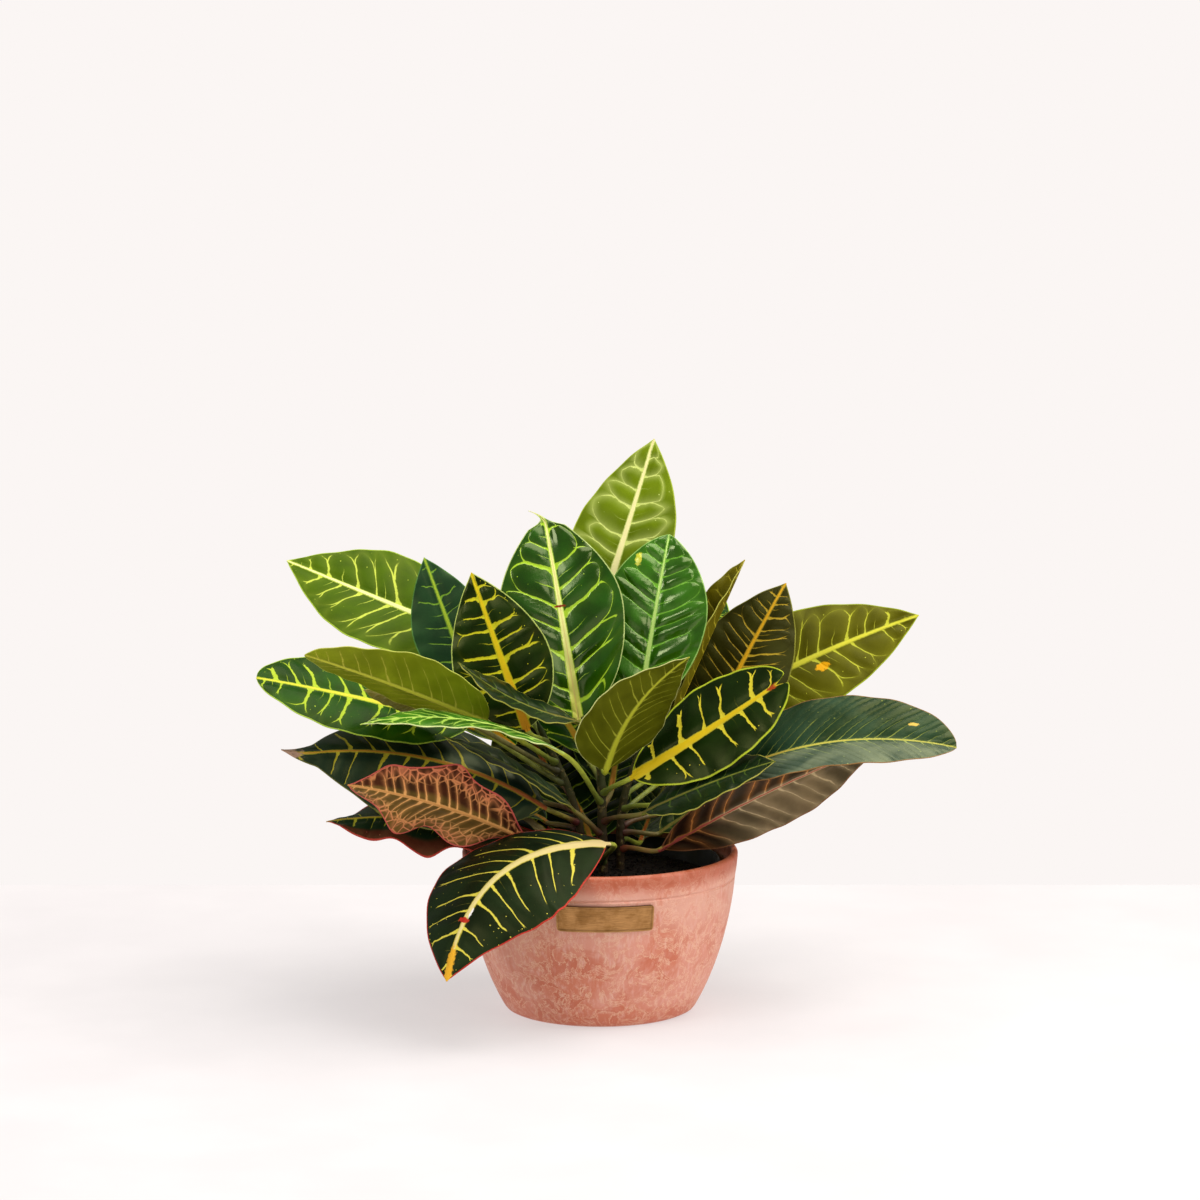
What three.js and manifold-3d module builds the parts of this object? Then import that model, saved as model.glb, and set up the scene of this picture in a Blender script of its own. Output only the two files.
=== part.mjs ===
// A potted croton: three leafy cuttings in a black nursery pot, which stands
// inside a bowl-shaped clay pot with a small plain brass plate on its front.
// Millimetres, +Z up. The origin is the middle of the clay pot's flat foot,
// and the front of the plant faces -Y.
import * as THREE from 'three';
import Module from 'manifold-3d';
import { mergeVertices } from 'three/addons/utils/BufferGeometryUtils.js';

const wasm = await Module();
wasm.setup();

const UP = new THREE.Vector3(0, 0, 1);
const GAP = 0.3;              // clearance between pieces that lie against each other
const { cos, sin, abs, PI } = Math;
const radians = THREE.MathUtils.degToRad;

// ---------------------------------------------------------------- finishes

function finish(color, roughness, metalness = 0) {
  return new THREE.MeshStandardMaterial({ color, roughness, metalness });
}

const FINISH = {
  clay: finish(0xd98f73, 0.75),
  brass: finish(0xa98a4c, 0.4, 0.9),
  plastic: finish(0x1c1c1c, 0.5),
  soil: finish(0x2b211b, 0.95),
  stem: finish(0x5f6638, 0.6),
  young: finish(0x84a022, 0.35),
  green: finish(0x1f4a22, 0.3),
  bronze: finish(0x4a4a18, 0.4),
  dark: finish(0x1d2f26, 0.35),
  red: finish(0x9c4a35, 0.45),
};

// ---------------------------------------------------------------- solids

// Merges a closed mesh's shared corners, so that it is one watertight solid.
function welded(geometry) {
  const bare = geometry.clone();
  bare.deleteAttribute('normal');
  bare.deleteAttribute('uv');
  return mergeVertices(bare, 1e-3);
}

// A closed solid through rings of points that all have the same number of corners.
// Its two halves are split into triangles alike, so that a thin waved blade's faces
// never cross each other.
function loft(rings) {
  const corners = rings[0].length;
  const points = rings.flat();
  const faces = [];
  for (let row = 0; row + 1 < rings.length; row++) {
    for (let k = 0; k < corners; k++) {
      const a = row * corners + k;
      const b = row * corners + (k + 1) % corners;
      if (k < corners / 2) faces.push(a, b, a + corners, b, b + corners, a + corners);
      else faces.push(a, b, b + corners, a, b + corners, a + corners);
    }
  }
  const last = (rings.length - 1) * corners;
  for (let k = 1; k + 1 < corners; k++) {
    faces.push(0, k + 1, k);
    faces.push(last, last + k, last + k + 1);
  }
  const geometry = new THREE.BufferGeometry().setFromPoints(points);
  geometry.setIndex(faces);
  return geometry;
}

// A turned solid: the profile's points run from the axis round to the axis again.
function turned(profile, segments) {
  const geometry = new THREE.LatheGeometry(profile, segments);
  geometry.rotateX(PI / 2);
  return welded(geometry);
}

function toManifold(geometry) {
  const solid = welded(geometry);
  return new wasm.Manifold(new wasm.Mesh({
    numProp: 3,
    vertProperties: new Float32Array(solid.attributes.position.array),
    triVerts: new Uint32Array(solid.index.array),
  }));
}

function fromManifold(manifold) {
  const mesh = manifold.getMesh();
  const geometry = new THREE.BufferGeometry();
  geometry.setAttribute('position', new THREE.BufferAttribute(mesh.vertProperties, 3));
  geometry.setIndex(new THREE.BufferAttribute(mesh.triVerts, 1));
  return geometry;
}

const plant = new THREE.Group();

function add(name, geometry, material) {
  geometry.computeVertexNormals();
  const mesh = new THREE.Mesh(geometry, material);
  mesh.name = name;
  plant.add(mesh);
  return mesh;
}

// ---------------------------------------------------------------- clay pot

const BOWL = {
  height: 111,
  rimRadius: 95,
  footRadius: 60,
  cornerRadius: 66.5,         // where the wall leaves the rounded foot
  cornerHeight: 3,
  bellyRadii: [81, 90.5],     // what draws the wall's curve outwards, and at what heights
  bellyHeights: [28, 62],
  wall: 5,
  floor: 8,
  floorRadius: 55,
  bandRadius: 93.2,           // the wall just below the rim band
  creaseHeight: 93.5,         // the shallow line below the rim band
  creaseDepth: 0.7,
  segments: 40,
};

const v2 = (r, z) => new THREE.Vector2(r, z);

// The wall's outer line from the foot to the crease, bellied like a bowl.
const bowlWall = new THREE.CubicBezierCurve(
  v2(BOWL.cornerRadius, BOWL.cornerHeight),
  v2(BOWL.bellyRadii[0], BOWL.bellyHeights[0]),
  v2(BOWL.bellyRadii[1], BOWL.bellyHeights[1]),
  v2(BOWL.bandRadius, BOWL.creaseHeight - 1),
);

function bowlProfile() {
  const lip = BOWL.wall / 2;
  const lipCentre = v2(BOWL.rimRadius - lip, BOWL.height - lip);
  const points = [v2(0, 0), v2(BOWL.footRadius, 0), v2(BOWL.cornerRadius - 1.6, 0.9)];
  points.push(...bowlWall.getPoints(5));
  points.push(v2(BOWL.bandRadius + 0.1 - BOWL.creaseDepth, BOWL.creaseHeight));
  points.push(v2(BOWL.bandRadius + 0.3, BOWL.creaseHeight + 1));
  for (const angle of [0, 45, 90, 135, 180]) {
    const a = radians(angle);
    points.push(v2(lipCentre.x + lip * cos(a), lipCentre.y + lip * sin(a)));
  }
  for (const p of bowlWall.getPoints(3).reverse()) {
    const low = Math.max(p.y, BOWL.floor + 3);
    points.push(v2(p.x - BOWL.wall, low));
  }
  points.push(v2(BOWL.floorRadius, BOWL.floor), v2(0, BOWL.floor));
  return points;
}

add('clay_pot', turned(bowlProfile(), BOWL.segments), FINISH.clay);

// ---------------------------------------------------------------- name plate

const PLATE = {
  width: 66,
  height: 18,
  thickness: 1.4,
  bottom: 72.6,
  turn: 2.2,                  // degrees round from the front, towards +X
  cornerRadius: 2.5,
  columns: 14,
};

// The bowl's outer radius at a height, found along the wall's curve.
function wallRadius(z) {
  let low = 0;
  let high = 1;
  for (let step = 0; step < 30; step++) {
    const middle = (low + high) / 2;
    if (bowlWall.getPoint(middle).y < z) low = middle; else high = middle;
  }
  return bowlWall.getPoint(low).x;
}

function platePoint(angle, z, proud) {
  const r = wallRadius(z) + proud;
  return new THREE.Vector3(r * sin(angle), -r * cos(angle), z);
}

function plateGeometry() {
  const middle = PLATE.bottom + PLATE.height / 2;
  const reach = PLATE.width / 2;
  const radius = wallRadius(middle);
  const rings = [];
  for (let column = 0; column <= PLATE.columns; column++) {
    const x = reach * sin(PI / 2 * (2 * column / PLATE.columns - 1));
    const intoCorner = Math.max(0, abs(x) - reach + PLATE.cornerRadius);
    const drop = PLATE.cornerRadius - Math.sqrt(PLATE.cornerRadius ** 2 - intoCorner ** 2);
    const half = PLATE.height / 2 - drop;
    const angle = radians(PLATE.turn) + x / radius;
    rings.push([
      platePoint(angle, middle - half, GAP + 0.15),
      platePoint(angle, middle + half, GAP + 0.15),
      platePoint(angle, middle + half, GAP + PLATE.thickness),
      platePoint(angle, middle - half, GAP + PLATE.thickness),
    ]);
  }
  return loft(rings);
}

add('name_plate', plateGeometry(), FINISH.brass);

// ---------------------------------------------------------------- nursery pot and soil

const NURSERY = {
  rimRadius: 82.7,
  rimHeight: 104,
  bandHeight: 10,
  topRadius: 80,              // outside, under the rim band
  footRadius: 53.5,
  wall: 1.6,
  segments: 36,
};
NURSERY.foot = BOWL.floor + GAP;

function nurseryProfile() {
  const { rimRadius, rimHeight, bandHeight, topRadius, footRadius, wall, foot } = NURSERY;
  return [
    v2(0, foot), v2(footRadius, foot),
    v2(topRadius, rimHeight - bandHeight), v2(rimRadius - 0.4, rimHeight - bandHeight + 0.6),
    v2(rimRadius, rimHeight - 0.6), v2(rimRadius - 0.6, rimHeight),
    v2(rimRadius - wall, rimHeight), v2(topRadius - wall, rimHeight - bandHeight - 1),
    v2(footRadius - wall, foot + wall), v2(0, foot + wall),
  ];
}

add('nursery_pot', turned(nurseryProfile(), NURSERY.segments), FINISH.plastic);

const SOIL = {
  edge: 92,                   // its height at the nursery pot's wall
  crown: 95,                  // and in the middle
  wallGap: 0.8,
  segments: 36,
  holeSegments: 16,
};

function soilProfile() {
  const { topRadius, footRadius, rimHeight, bandHeight, wall, foot } = NURSERY;
  const slope = (topRadius - footRadius) / (rimHeight - bandHeight - foot);
  const inner = (z) => footRadius + slope * (z - foot) - wall - SOIL.wallGap;
  const base = foot + wall + GAP;
  return [
    v2(0, base), v2(inner(base), base), v2(inner(SOIL.edge), SOIL.edge),
    v2(60, SOIL.edge + 1.2), v2(34, SOIL.crown - 0.6), v2(0, SOIL.crown),
  ];
}

// ---------------------------------------------------------------- stems

const STEM_SIDES = 10;
const STEM_ROWS = 12;
const STEM_TAPER = 0.3;       // share of its radius that a stem loses on the way up
const STEM_FOOT = 66;         // height of a stem's lower end, inside the soil
const BUD = [[4, 0.8], [9, 0.15]];    // rise above the stem, and share of its radius

// Each cutting: the line of its stem from the soil to its growing tip.
const STEMS = {
  centre: { path: [[2, 0], [2, 0], [1, 2], [0, 4]], heights: [STEM_FOOT, 97, 150, 206], radius: 3.5 },
  left: { path: [[-11, 11], [-11, 11], [-18, 10], [-40, 12]],
    heights: [STEM_FOOT, 97, 140, 190], radius: 3.1 },
  right: { path: [[14, 13], [14, 13], [16, 16], [32, 26]], heights: [STEM_FOOT, 97, 140, 186], radius: 3.1 },
};
for (const stem of Object.values(STEMS)) {
  const points = stem.path.map(([x, y], i) => new THREE.Vector3(x, y, stem.heights[i]));
  stem.curve = new THREE.CatmullRomCurve3(points, false, 'centripetal');
  stem.top = stem.heights.at(-1);
}

function stemAt(stem, height) {
  let low = 0;
  let high = 1;
  for (let step = 0; step < 30; step++) {
    const middle = (low + high) / 2;
    if (stem.curve.getPoint(middle).z < height) low = middle; else high = middle;
  }
  const along = stem.curve.getTangent(low).normalize();
  const radius = stem.radius * (1 - STEM_TAPER * (height - STEM_FOOT) / (stem.top - STEM_FOOT));
  return { centre: stem.curve.getPoint(low), along, radius };
}

// An oval ring of points; radiusA is its half width along side, radiusB along across.
function circle(centre, side, across, radiusA, radiusB, sides) {
  const ring = [];
  for (let k = 0; k < sides; k++) {
    const a = PI - (k + 0.5) * 2 * PI / sides;
    const p = centre.clone().addScaledVector(side, radiusA * cos(a));
    ring.push(p.addScaledVector(across, radiusB * sin(a)));
  }
  return ring;
}

function stemRing(centre, along, radius) {
  const side = new THREE.Vector3(0, 1, 0).cross(along).normalize();
  const across = side.clone().cross(along);
  return circle(centre, side, across, radius, radius, STEM_SIDES);
}

// The growing bud at the end is the last stretch, drawn to a point.
function stemGeometry(stem) {
  const rings = [];
  for (let row = 0; row <= STEM_ROWS; row++) {
    const { centre, along, radius } = stemAt(stem, STEM_FOOT + (stem.top - STEM_FOOT) * row / STEM_ROWS);
    rings.push(stemRing(centre, along, radius));
  }
  const { centre, along, radius } = stemAt(stem, stem.top);
  for (const [rise, share] of BUD) {
    rings.push(stemRing(centre.clone().addScaledVector(along, rise), along, radius * share));
  }
  return loft(rings);
}

for (const [name, stem] of Object.entries(STEMS)) {
  add(`stem_${name}`, stemGeometry(stem), FINISH.stem);
}

// Each stem stands in a plain blind hole in the soil.
let soil = toManifold(turned(soilProfile(), SOIL.segments));
for (const stem of Object.values(STEMS)) {
  const [x, y] = stem.path[0];
  const radius = stem.radius + GAP;
  const hole = wasm.Manifold.cylinder(SOIL.crown - STEM_FOOT + 5, radius, radius, SOIL.holeSegments);
  soil = soil.subtract(hole.translate([x, y, STEM_FOOT - GAP]));
}
add('soil', fromManifold(soil), FINISH.soil);

// ---------------------------------------------------------------- leaves

// One leaf: where its stalk leaves the stem, where the blade begins and ends, and
// how the blade is shaped. Angles are in degrees and lengths in millimetres.
//   heading  the way the leaf points, seen from above: 0 is +X, 90 is +Y
//   arch     how far the midrib rises above its straight line; sweep the same sideways
//   roll     the blade's turn about its midrib; fold how far its halves stand up
//   curl     how far the margins bend down; wave and waves the margin's ripple
//   widest   where along the midrib the blade is widest; base and tip how they taper
//   lobes    how many bays the margin has, and lobeDepth how deep they cut
const LEAF = {
  thickness: 0.9,
  ribDepth: 1.6,              // how far the midrib stands out below the blade
  stalkRadius: 1.9,
  stalkSides: 10,
  heel: 1.3,                  // the stalk's swelling where it meets the stem
  tipWidth: 0.4,              // the least half width, at the blade's tip
  ahead: 0.55,                // a stalk leaves its stem partly straight towards its blade,
  lean: [0.3, 0.3],           // partly outwards and upwards
  arrive: 0.75,               // how far the blade's own direction bends the stalk's end
  rows: [0, 0.06, 0.16, 0.27, 0.38, 0.5, 0.62, 0.74, 0.86, 0.95, 1],
  wavyRows: [0, 0.05, 0.12, 0.19, 0.26, 0.33, 0.4, 0.47, 0.54, 0.61, 0.68, 0.75, 0.82, 0.89, 0.95, 1],
  stalkRows: 3,
  across: [-1, -0.5, 0, 0.5, 1],
};
const TYPICAL = {
  arch: 0, sweep: 0, width: 72, roll: 0, twist: 0, fold: 10, curl: 0.1,
  wave: 1.2, waves: 2, phase: 0, widest: 0.5, base: 0.7, tip: 1, lobes: 0, lobeDepth: 0,
};

const LEAVES = [
  // the upright leaves at the top
  { stem: 'centre', node: 201, from: [-7, 42, 247], to: [38, 104, 382], heading: 75, arch: -2, width: 77,
    roll: -6, fold: 8, widest: 0.52, look: 'young' },
  { stem: 'centre', node: 192, from: [-15, -5, 203], to: [-39, 25, 342], heading: 95, arch: 5, width: 88,
    fold: 12, widest: 0.52, base: 0.6, tip: 0.95, look: 'green' },
  { stem: 'centre', node: 184, from: [27, 12, 204], to: [48, 45, 323], heading: 80, arch: 4, width: 76,
    roll: 4, fold: 14, widest: 0.55, tip: 0.75, look: 'green' },
  { stem: 'centre', node: 168, from: [4, -28, 172], to: [60, -70, 257], heading: -60, arch: 6, width: 72,
    fold: 10, sweep: 7, widest: 0.34, look: 'bronze' },
  { stem: 'centre', node: 176, from: [-16, -41, 208], to: [-96, -50, 250], heading: 195, arch: -6, width: 46,
    roll: -14, fold: 8, look: 'green' },
  // the leaves that lean to the front
  { stem: 'centre', node: 150, from: [22, -25, 166], to: [127, -45, 239], heading: -10, arch: -1, width: 68,
    roll: 52, fold: 4, tip: 0.55, widest: 0.55, look: 'green' },
  { stem: 'centre', node: 144, from: [-28, -56, 191], to: [-159, -118, 220], heading: 200, arch: 12,
    width: 54, roll: -2, fold: 4, look: 'young' },
  { stem: 'centre', node: 130, from: [31, -35, 144], to: [118, -72, 186], heading: -20, arch: 2, width: 56,
    roll: 26, look: 'dark' },
  { stem: 'centre', node: 122, from: [-18, -16, 142], to: [-106, -36, 196], heading: 195, arch: 4, width: 42,
    roll: -10, look: 'dark' },
  { stem: 'centre', node: 108, from: [-43, -28, 119], to: [-169, -92, 174], heading: 190, arch: 6, width: 70,
    roll: 70, fold: 14, widest: 0.56, base: 1.6, wave: 5, waves: 2.5, lobes: 3, lobeDepth: 0.3, look: 'red' },
  { stem: 'centre', node: 102, from: [4, -62, 128], to: [-102, -138, 50], heading: -130, arch: 26, width: 109,
    roll: -4, fold: -8, sweep: 17, base: 0.7, look: 'dark' },
  // the left cutting
  { stem: 'left', node: 182, from: [-84, 20, 208], to: [-122, 50, 306], heading: 90, width: 54,
    fold: 8, look: 'green' },
  { stem: 'left', node: 184, from: [-50, -22, 199], to: [-88, 2, 303], heading: 80, arch: 2, width: 70,
    fold: 10, widest: 0.42, base: 0.6, look: 'green' },
  { stem: 'left', node: 178, from: [-84, 60, 246], to: [-220, 95, 297], heading: 160, width: 86, roll: -36,
    fold: 8, base: 0.65, look: 'young' },
  { stem: 'left', node: 170, from: [-77, -50, 209], to: [-197, -91, 262], heading: 190, arch: 2, width: 60,
    roll: 44, fold: 24, widest: 0.42, base: 0.5, tip: 0.7, look: 'bronze' },
  { stem: 'left', node: 164, from: [-92, -24, 205], to: [-160, -46, 230], heading: 185, arch: 2, width: 34,
    roll: 42, fold: 6, look: 'bronze' },
  { stem: 'left', node: 156, from: [-90, 0, 197], to: [-233, -38, 237], heading: 190, arch: 2, width: 78,
    roll: -32, fold: 6, tip: 0.55, look: 'green' },
  { stem: 'left', node: 128, from: [-38, -14, 143], to: [-205, -38, 184], heading: 185, arch: 16, width: 96,
    roll: -44, fold: -16, look: 'dark' },
  { stem: 'left', node: 112, from: [-52, -8, 120], to: [-187, -30, 136], heading: 180, arch: 8, width: 66,
    roll: -20, fold: -10, wave: 4, waves: 3, lobes: 3, lobeDepth: 0.2, look: 'dark' },
  // the right cutting
  { stem: 'right', node: 182, from: [48, 34, 192], to: [100, 40, 306], heading: 5, width: 48, roll: 25,
    fold: 50, look: 'bronze' },
  { stem: 'right', node: 164, from: [70, 36, 175], to: [130, 76, 284], heading: 45, arch: 2, width: 76,
    roll: 20, fold: 6, look: 'bronze' },
  { stem: 'right', node: 174, from: [76, 68, 195], to: [224, 90, 259], heading: 15, arch: 4, width: 76,
    roll: 50, fold: 6, base: 0.65, look: 'young' },
  { stem: 'right', node: 136, from: [57, -20, 149], to: [240, -70, 195], heading: -12, arch: 20, width: 78,
    roll: 30, fold: 20, widest: 0.6, tip: 0.6, look: 'dark' },
  { stem: 'right', node: 119, from: [42, 12, 120], to: [140, 48, 163], heading: 20, arch: 4, width: 58,
    roll: 20, look: 'dark' },
  { stem: 'right', node: 108, from: [42, -10, 113], to: [192, -10, 186], heading: 0, arch: 4, width: 60,
    roll: -60, fold: -6, base: 0.8, look: 'dark' },
  // the leaves round the back
  { stem: 'centre', node: 178, from: [0, 44, 205], to: [-30, 140, 280], heading: 105, arch: 6, width: 80,
    look: 'young' },
  { stem: 'centre', node: 166, from: [10, 46, 176], to: [40, 165, 222], heading: 76, arch: 8, look: 'green' },
  { stem: 'centre', node: 156, from: [-10, 46, 168], to: [-72, 160, 215], heading: 120, arch: 10, width: 78,
    look: 'green' },
  { stem: 'centre', node: 136, from: [8, 46, 144], to: [22, 175, 180], heading: 85, arch: 8, look: 'dark' },
  { stem: 'centre', node: 118, from: [-14, 46, 128], to: [-64, 150, 174], heading: 114, arch: 5, width: 80,
    look: 'dark' },
  { stem: 'centre', node: 106, from: [-6, 42, 106], to: [-30, 150, 140], heading: 98, arch: 6, width: 80,
    look: 'dark' },
  { stem: 'left', node: 172, from: [-50, 52, 200], to: [-118, 140, 256], heading: 128, arch: 6,
    look: 'green' },
  { stem: 'left', node: 160, from: [-60, 42, 174], to: [-160, 118, 204], heading: 145, arch: 10, width: 76,
    look: 'green' },
  { stem: 'left', node: 148, from: [-38, 52, 158], to: [-88, 175, 188], heading: 115, arch: 12,
    look: 'dark' },
  { stem: 'left', node: 136, from: [-52, 30, 142], to: [-168, 76, 160], heading: 158, arch: 12, width: 66,
    look: 'dark' },
  { stem: 'left', node: 122, from: [-38, 32, 124], to: [-122, 86, 138], heading: 146, arch: 6, width: 56,
    look: 'dark' },
  { stem: 'left', node: 108, from: [-40, 46, 112], to: [-116, 138, 106], heading: 128, arch: 16,
    look: 'dark' },
  { stem: 'right', node: 170, from: [24, 62, 202], to: [88, 160, 262], heading: 62, arch: 6, look: 'green' },
  { stem: 'right', node: 134, from: [50, 56, 154], to: [152, 128, 198], heading: 36, arch: 8, width: 76,
    look: 'bronze' },
  { stem: 'right', node: 144, from: [33, 66, 148], to: [96, 176, 158], heading: 62, arch: 12, look: 'green' },
  { stem: 'right', node: 124, from: [54, 42, 132], to: [150, 108, 122], heading: 32, arch: 16, look: 'dark' },
  { stem: 'right', node: 113, from: [29, 56, 106], to: [60, 150, 144], heading: 72, arch: 6, look: 'dark' },
];

// The leaf's midrib, and the way its upper face looks before any roll.
function leafFrame(leaf) {
  const from = new THREE.Vector3(...leaf.from);
  const to = new THREE.Vector3(...leaf.to);
  const chord = to.clone().sub(from);
  const line = chord.clone().normalize();
  const away = new THREE.Vector3(cos(radians(leaf.heading)), sin(radians(leaf.heading)), 0);
  const normal = UP.clone().multiplyScalar(away.dot(line)).addScaledVector(away, -UP.dot(line));
  normal.addScaledVector(line, -normal.dot(line)).normalize();
  const side = line.clone().cross(normal);
  const bend = from.clone().addScaledVector(chord, 0.5);
  bend.addScaledVector(normal, 2 * leaf.arch).addScaledVector(side, 2 * leaf.sweep);
  return { from, line, normal, midrib: new THREE.QuadraticBezierCurve3(from, bend, to) };
}

// Half the blade's width, as a share of its widest, at t along the midrib.
function halfWidth(leaf, t, v) {
  const bays = leaf.lobeDepth * (0.5 - 0.5 * cos(2 * PI * leaf.lobes * t + (v > 0 ? 0 : 2)));
  const share = t < leaf.widest
    ? (1 - ((leaf.widest - t) / leaf.widest) ** 2) ** leaf.base
    : (1 - Math.min(1, (t - leaf.widest) / (1 - leaf.widest)) ** 1.8) ** leaf.tip;
  return share * (1 - bays);
}

// Height of the blade above the midrib's plane, at t along and v across it.
function bladeLine(leaf, t, v) {
  const least = LEAF.stalkRadius * (1 - t) + LEAF.tipWidth * t;
  const half = Math.max(leaf.width / 2 * halfWidth(leaf, t, v), least);
  const ripple = leaf.wave * sin(PI * t) ** 0.6 * v * v;
  const phase = leaf.phase + (v > 0 ? 0 : 1.9);
  const x = half * v * cos(radians(leaf.fold));
  const z = half * (abs(v) * sin(radians(leaf.fold)) - leaf.curl * v * v)
    + ripple * sin(2 * PI * leaf.waves * t + phase);
  return [x, z];
}

// One section through the blade: five points on its upper face and five on its under face.
function bladeRing(leaf, frame, t) {
  const along = frame.midrib.getTangent(t);
  const turn = radians(leaf.roll + leaf.twist * (t - 0.5));
  const normal = frame.normal.clone().applyAxisAngle(frame.line, turn);
  normal.addScaledVector(along, -normal.dot(along)).normalize();
  const side = along.clone().cross(normal);
  const centre = frame.midrib.getPoint(t);
  const place = (x, z) => centre.clone().addScaledVector(side, x).addScaledVector(normal, z);
  const top = [];
  const under = [];
  for (const v of LEAF.across) {
    const [x, z] = bladeLine(leaf, t, v);
    const [xl, zl] = bladeLine(leaf, t, v - 0.02);
    const [xr, zr] = bladeLine(leaf, t, v + 0.02);
    const slope = v === 0 ? 0 : Math.atan2(zr - zl, xr - xl) * (1 - t ** 12);
    const depth = LEAF.thickness + (v === 0 ? LEAF.ribDepth * (1 - t) : 0);
    top.push(place(x, z));
    under.unshift(place(x + depth * sin(slope), z - depth * cos(slope)));
  }
  return { ring: [...top, ...under], along, normal };
}

// Sections of the stalk, from its heel beside the stem to the blade's first section.
function stalkRings(leaf, frame, blade) {
  const { centre, along, radius } = stemAt(STEMS[leaf.stem], leaf.node);
  const out = frame.from.clone().sub(centre);
  out.addScaledVector(along, -out.dot(along)).normalize();
  const start = centre.clone().addScaledVector(out, radius + GAP);
  const reach = start.distanceTo(frame.from) / 3;
  const lean = frame.from.clone().sub(start).normalize().multiplyScalar(LEAF.ahead);
  lean.addScaledVector(out, LEAF.lean[0]).addScaledVector(along, LEAF.lean[1]);
  const path = new THREE.CubicBezierCurve3(
    start.clone(),
    start.clone().addScaledVector(lean, reach),
    frame.from.clone().addScaledVector(blade.along, -reach * LEAF.arrive),
    frame.from,
  );
  // The section keeps the blade's own facing all the way down, so the stalk has no twist.
  const section = (middle, along, radius, drop) => {
    const turn = new THREE.Quaternion().setFromUnitVectors(blade.along, along);
    const up = blade.normal.clone().applyQuaternion(turn);
    const side = along.clone().cross(up);
    return circle(middle.addScaledVector(up, -drop), side, up, radius, radius, LEAF.stalkSides);
  };
  const rings = [section(start, out, LEAF.stalkRadius * LEAF.heel, 0)];
  for (let row = 1; row <= LEAF.stalkRows; row++) {
    const t = row / (LEAF.stalkRows + 0.5);
    rings.push(section(path.getPoint(t), path.getTangent(t), LEAF.stalkRadius, LEAF.thickness * t));
  }
  return rings;
}

function leafGeometry(leaf) {
  const frame = leafFrame(leaf);
  const rows = leaf.lobes > 0 ? LEAF.wavyRows : LEAF.rows;
  const blades = rows.map((t) => bladeRing(leaf, frame, t));
  return loft([...stalkRings(leaf, frame, blades[0]), ...blades.map((b) => b.ring)]);
}

const counts = {};
for (const row of LEAVES) {
  const leaf = { ...TYPICAL, ...row };
  counts[leaf.stem] = (counts[leaf.stem] ?? 0) + 1;
  const number = String(counts[leaf.stem]).padStart(2, '0');
  add(`leaf_${leaf.stem}_${number}`, leafGeometry(leaf), FINISH[leaf.look]);
}

export default plant;
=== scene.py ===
# %% [markdown]
# # A potted croton
#
# We dress a potted croton: three leafy cuttings in a black nursery pot, which stands in a
# bowl-shaped clay pot with a small bare brass plate. The plain solids come from the CAD
# frame, one for each leaf, stem and pot. Each is replaced here by a finer piece of the
# same form. The looks of a croton are its leaves: thick, glossy, quilted between the
# veins, and painted by age from olive-yellow through green to nearly black and red.

# %% The frame
import math
import random

import bpy
import numpy as np
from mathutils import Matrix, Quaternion, Vector, noise


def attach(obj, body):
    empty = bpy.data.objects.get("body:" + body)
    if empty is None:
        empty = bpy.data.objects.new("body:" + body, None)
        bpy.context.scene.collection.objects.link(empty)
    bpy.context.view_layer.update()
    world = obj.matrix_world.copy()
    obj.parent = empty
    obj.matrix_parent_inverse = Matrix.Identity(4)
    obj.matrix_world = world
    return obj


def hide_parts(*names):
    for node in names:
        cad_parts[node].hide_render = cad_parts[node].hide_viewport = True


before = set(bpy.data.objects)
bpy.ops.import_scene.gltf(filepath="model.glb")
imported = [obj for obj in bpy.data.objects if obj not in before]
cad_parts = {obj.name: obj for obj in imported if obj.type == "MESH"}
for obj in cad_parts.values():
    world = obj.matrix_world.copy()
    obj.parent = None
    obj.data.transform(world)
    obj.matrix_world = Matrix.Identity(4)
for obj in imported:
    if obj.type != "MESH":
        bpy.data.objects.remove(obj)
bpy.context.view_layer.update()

# %% [markdown]
# ## Camera
#
# The picture was taken from far away with a long lens, a little above the plant, so the
# pot's rim shows as a thin oval. A 150 mm lens on a 36 mm sensor gives the same flat
# perspective. The camera comes first, so that every later step can be looked at.

# %% Camera
MM = 0.001
CAMERA_AT = Vector((0, -3376.1, 831.1)) * MM
CAMERA_PITCH = math.radians(9.2)
LENS_MM = 150
SENSOR_MM = 36
SIGHT_M = 50

bpy.ops.object.select_all(action="DESELECT")
bpy.ops.object.camera_add(location=CAMERA_AT, rotation=(math.pi / 2 - CAMERA_PITCH, 0, 0))
camera = bpy.context.object
camera.data.lens = LENS_MM
camera.data.sensor_width = SENSOR_MM
camera.data.clip_end = SIGHT_M
bpy.context.scene.camera = camera
print("camera at", tuple(round(c, 3) for c in camera.location))

# %% [markdown]
# ## Small helpers
#
# An operator acts on whatever is selected, so each step first selects one object alone.
# Sizes are written in millimetres and turned into metres once. Colours are written as a
# designer writes them and turned into the linear values that shaders expect. Every
# finished piece goes through the same last step, which says what it stands for.

# %% Helpers for objects


def only(obj):
    """Selects one object alone and makes it active."""
    bpy.ops.object.select_all(action="DESELECT")
    obj.select_set(True)
    bpy.context.view_layer.objects.active = obj


def call_it(name):
    """Names the object that an operator has just made."""
    obj = bpy.context.object
    obj.name = name
    obj.data.name = name
    return obj


def finish_piece(obj, node):
    """The piece stands for a CAD node and rides on the plant's only body."""
    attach(obj, "root")
    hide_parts(node)
    print(node, "has", len(obj.data.polygons), "faces")


def paint(code):
    """A colour written as #rrggbb, in linear values."""
    parts = [int(code[i:i + 2], 16) / 255 for i in (1, 3, 5)]
    return (*[c / 12.92 if c <= 0.04045 else ((c + 0.055) / 1.055) ** 2.4 for c in parts], 1.0)


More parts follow.
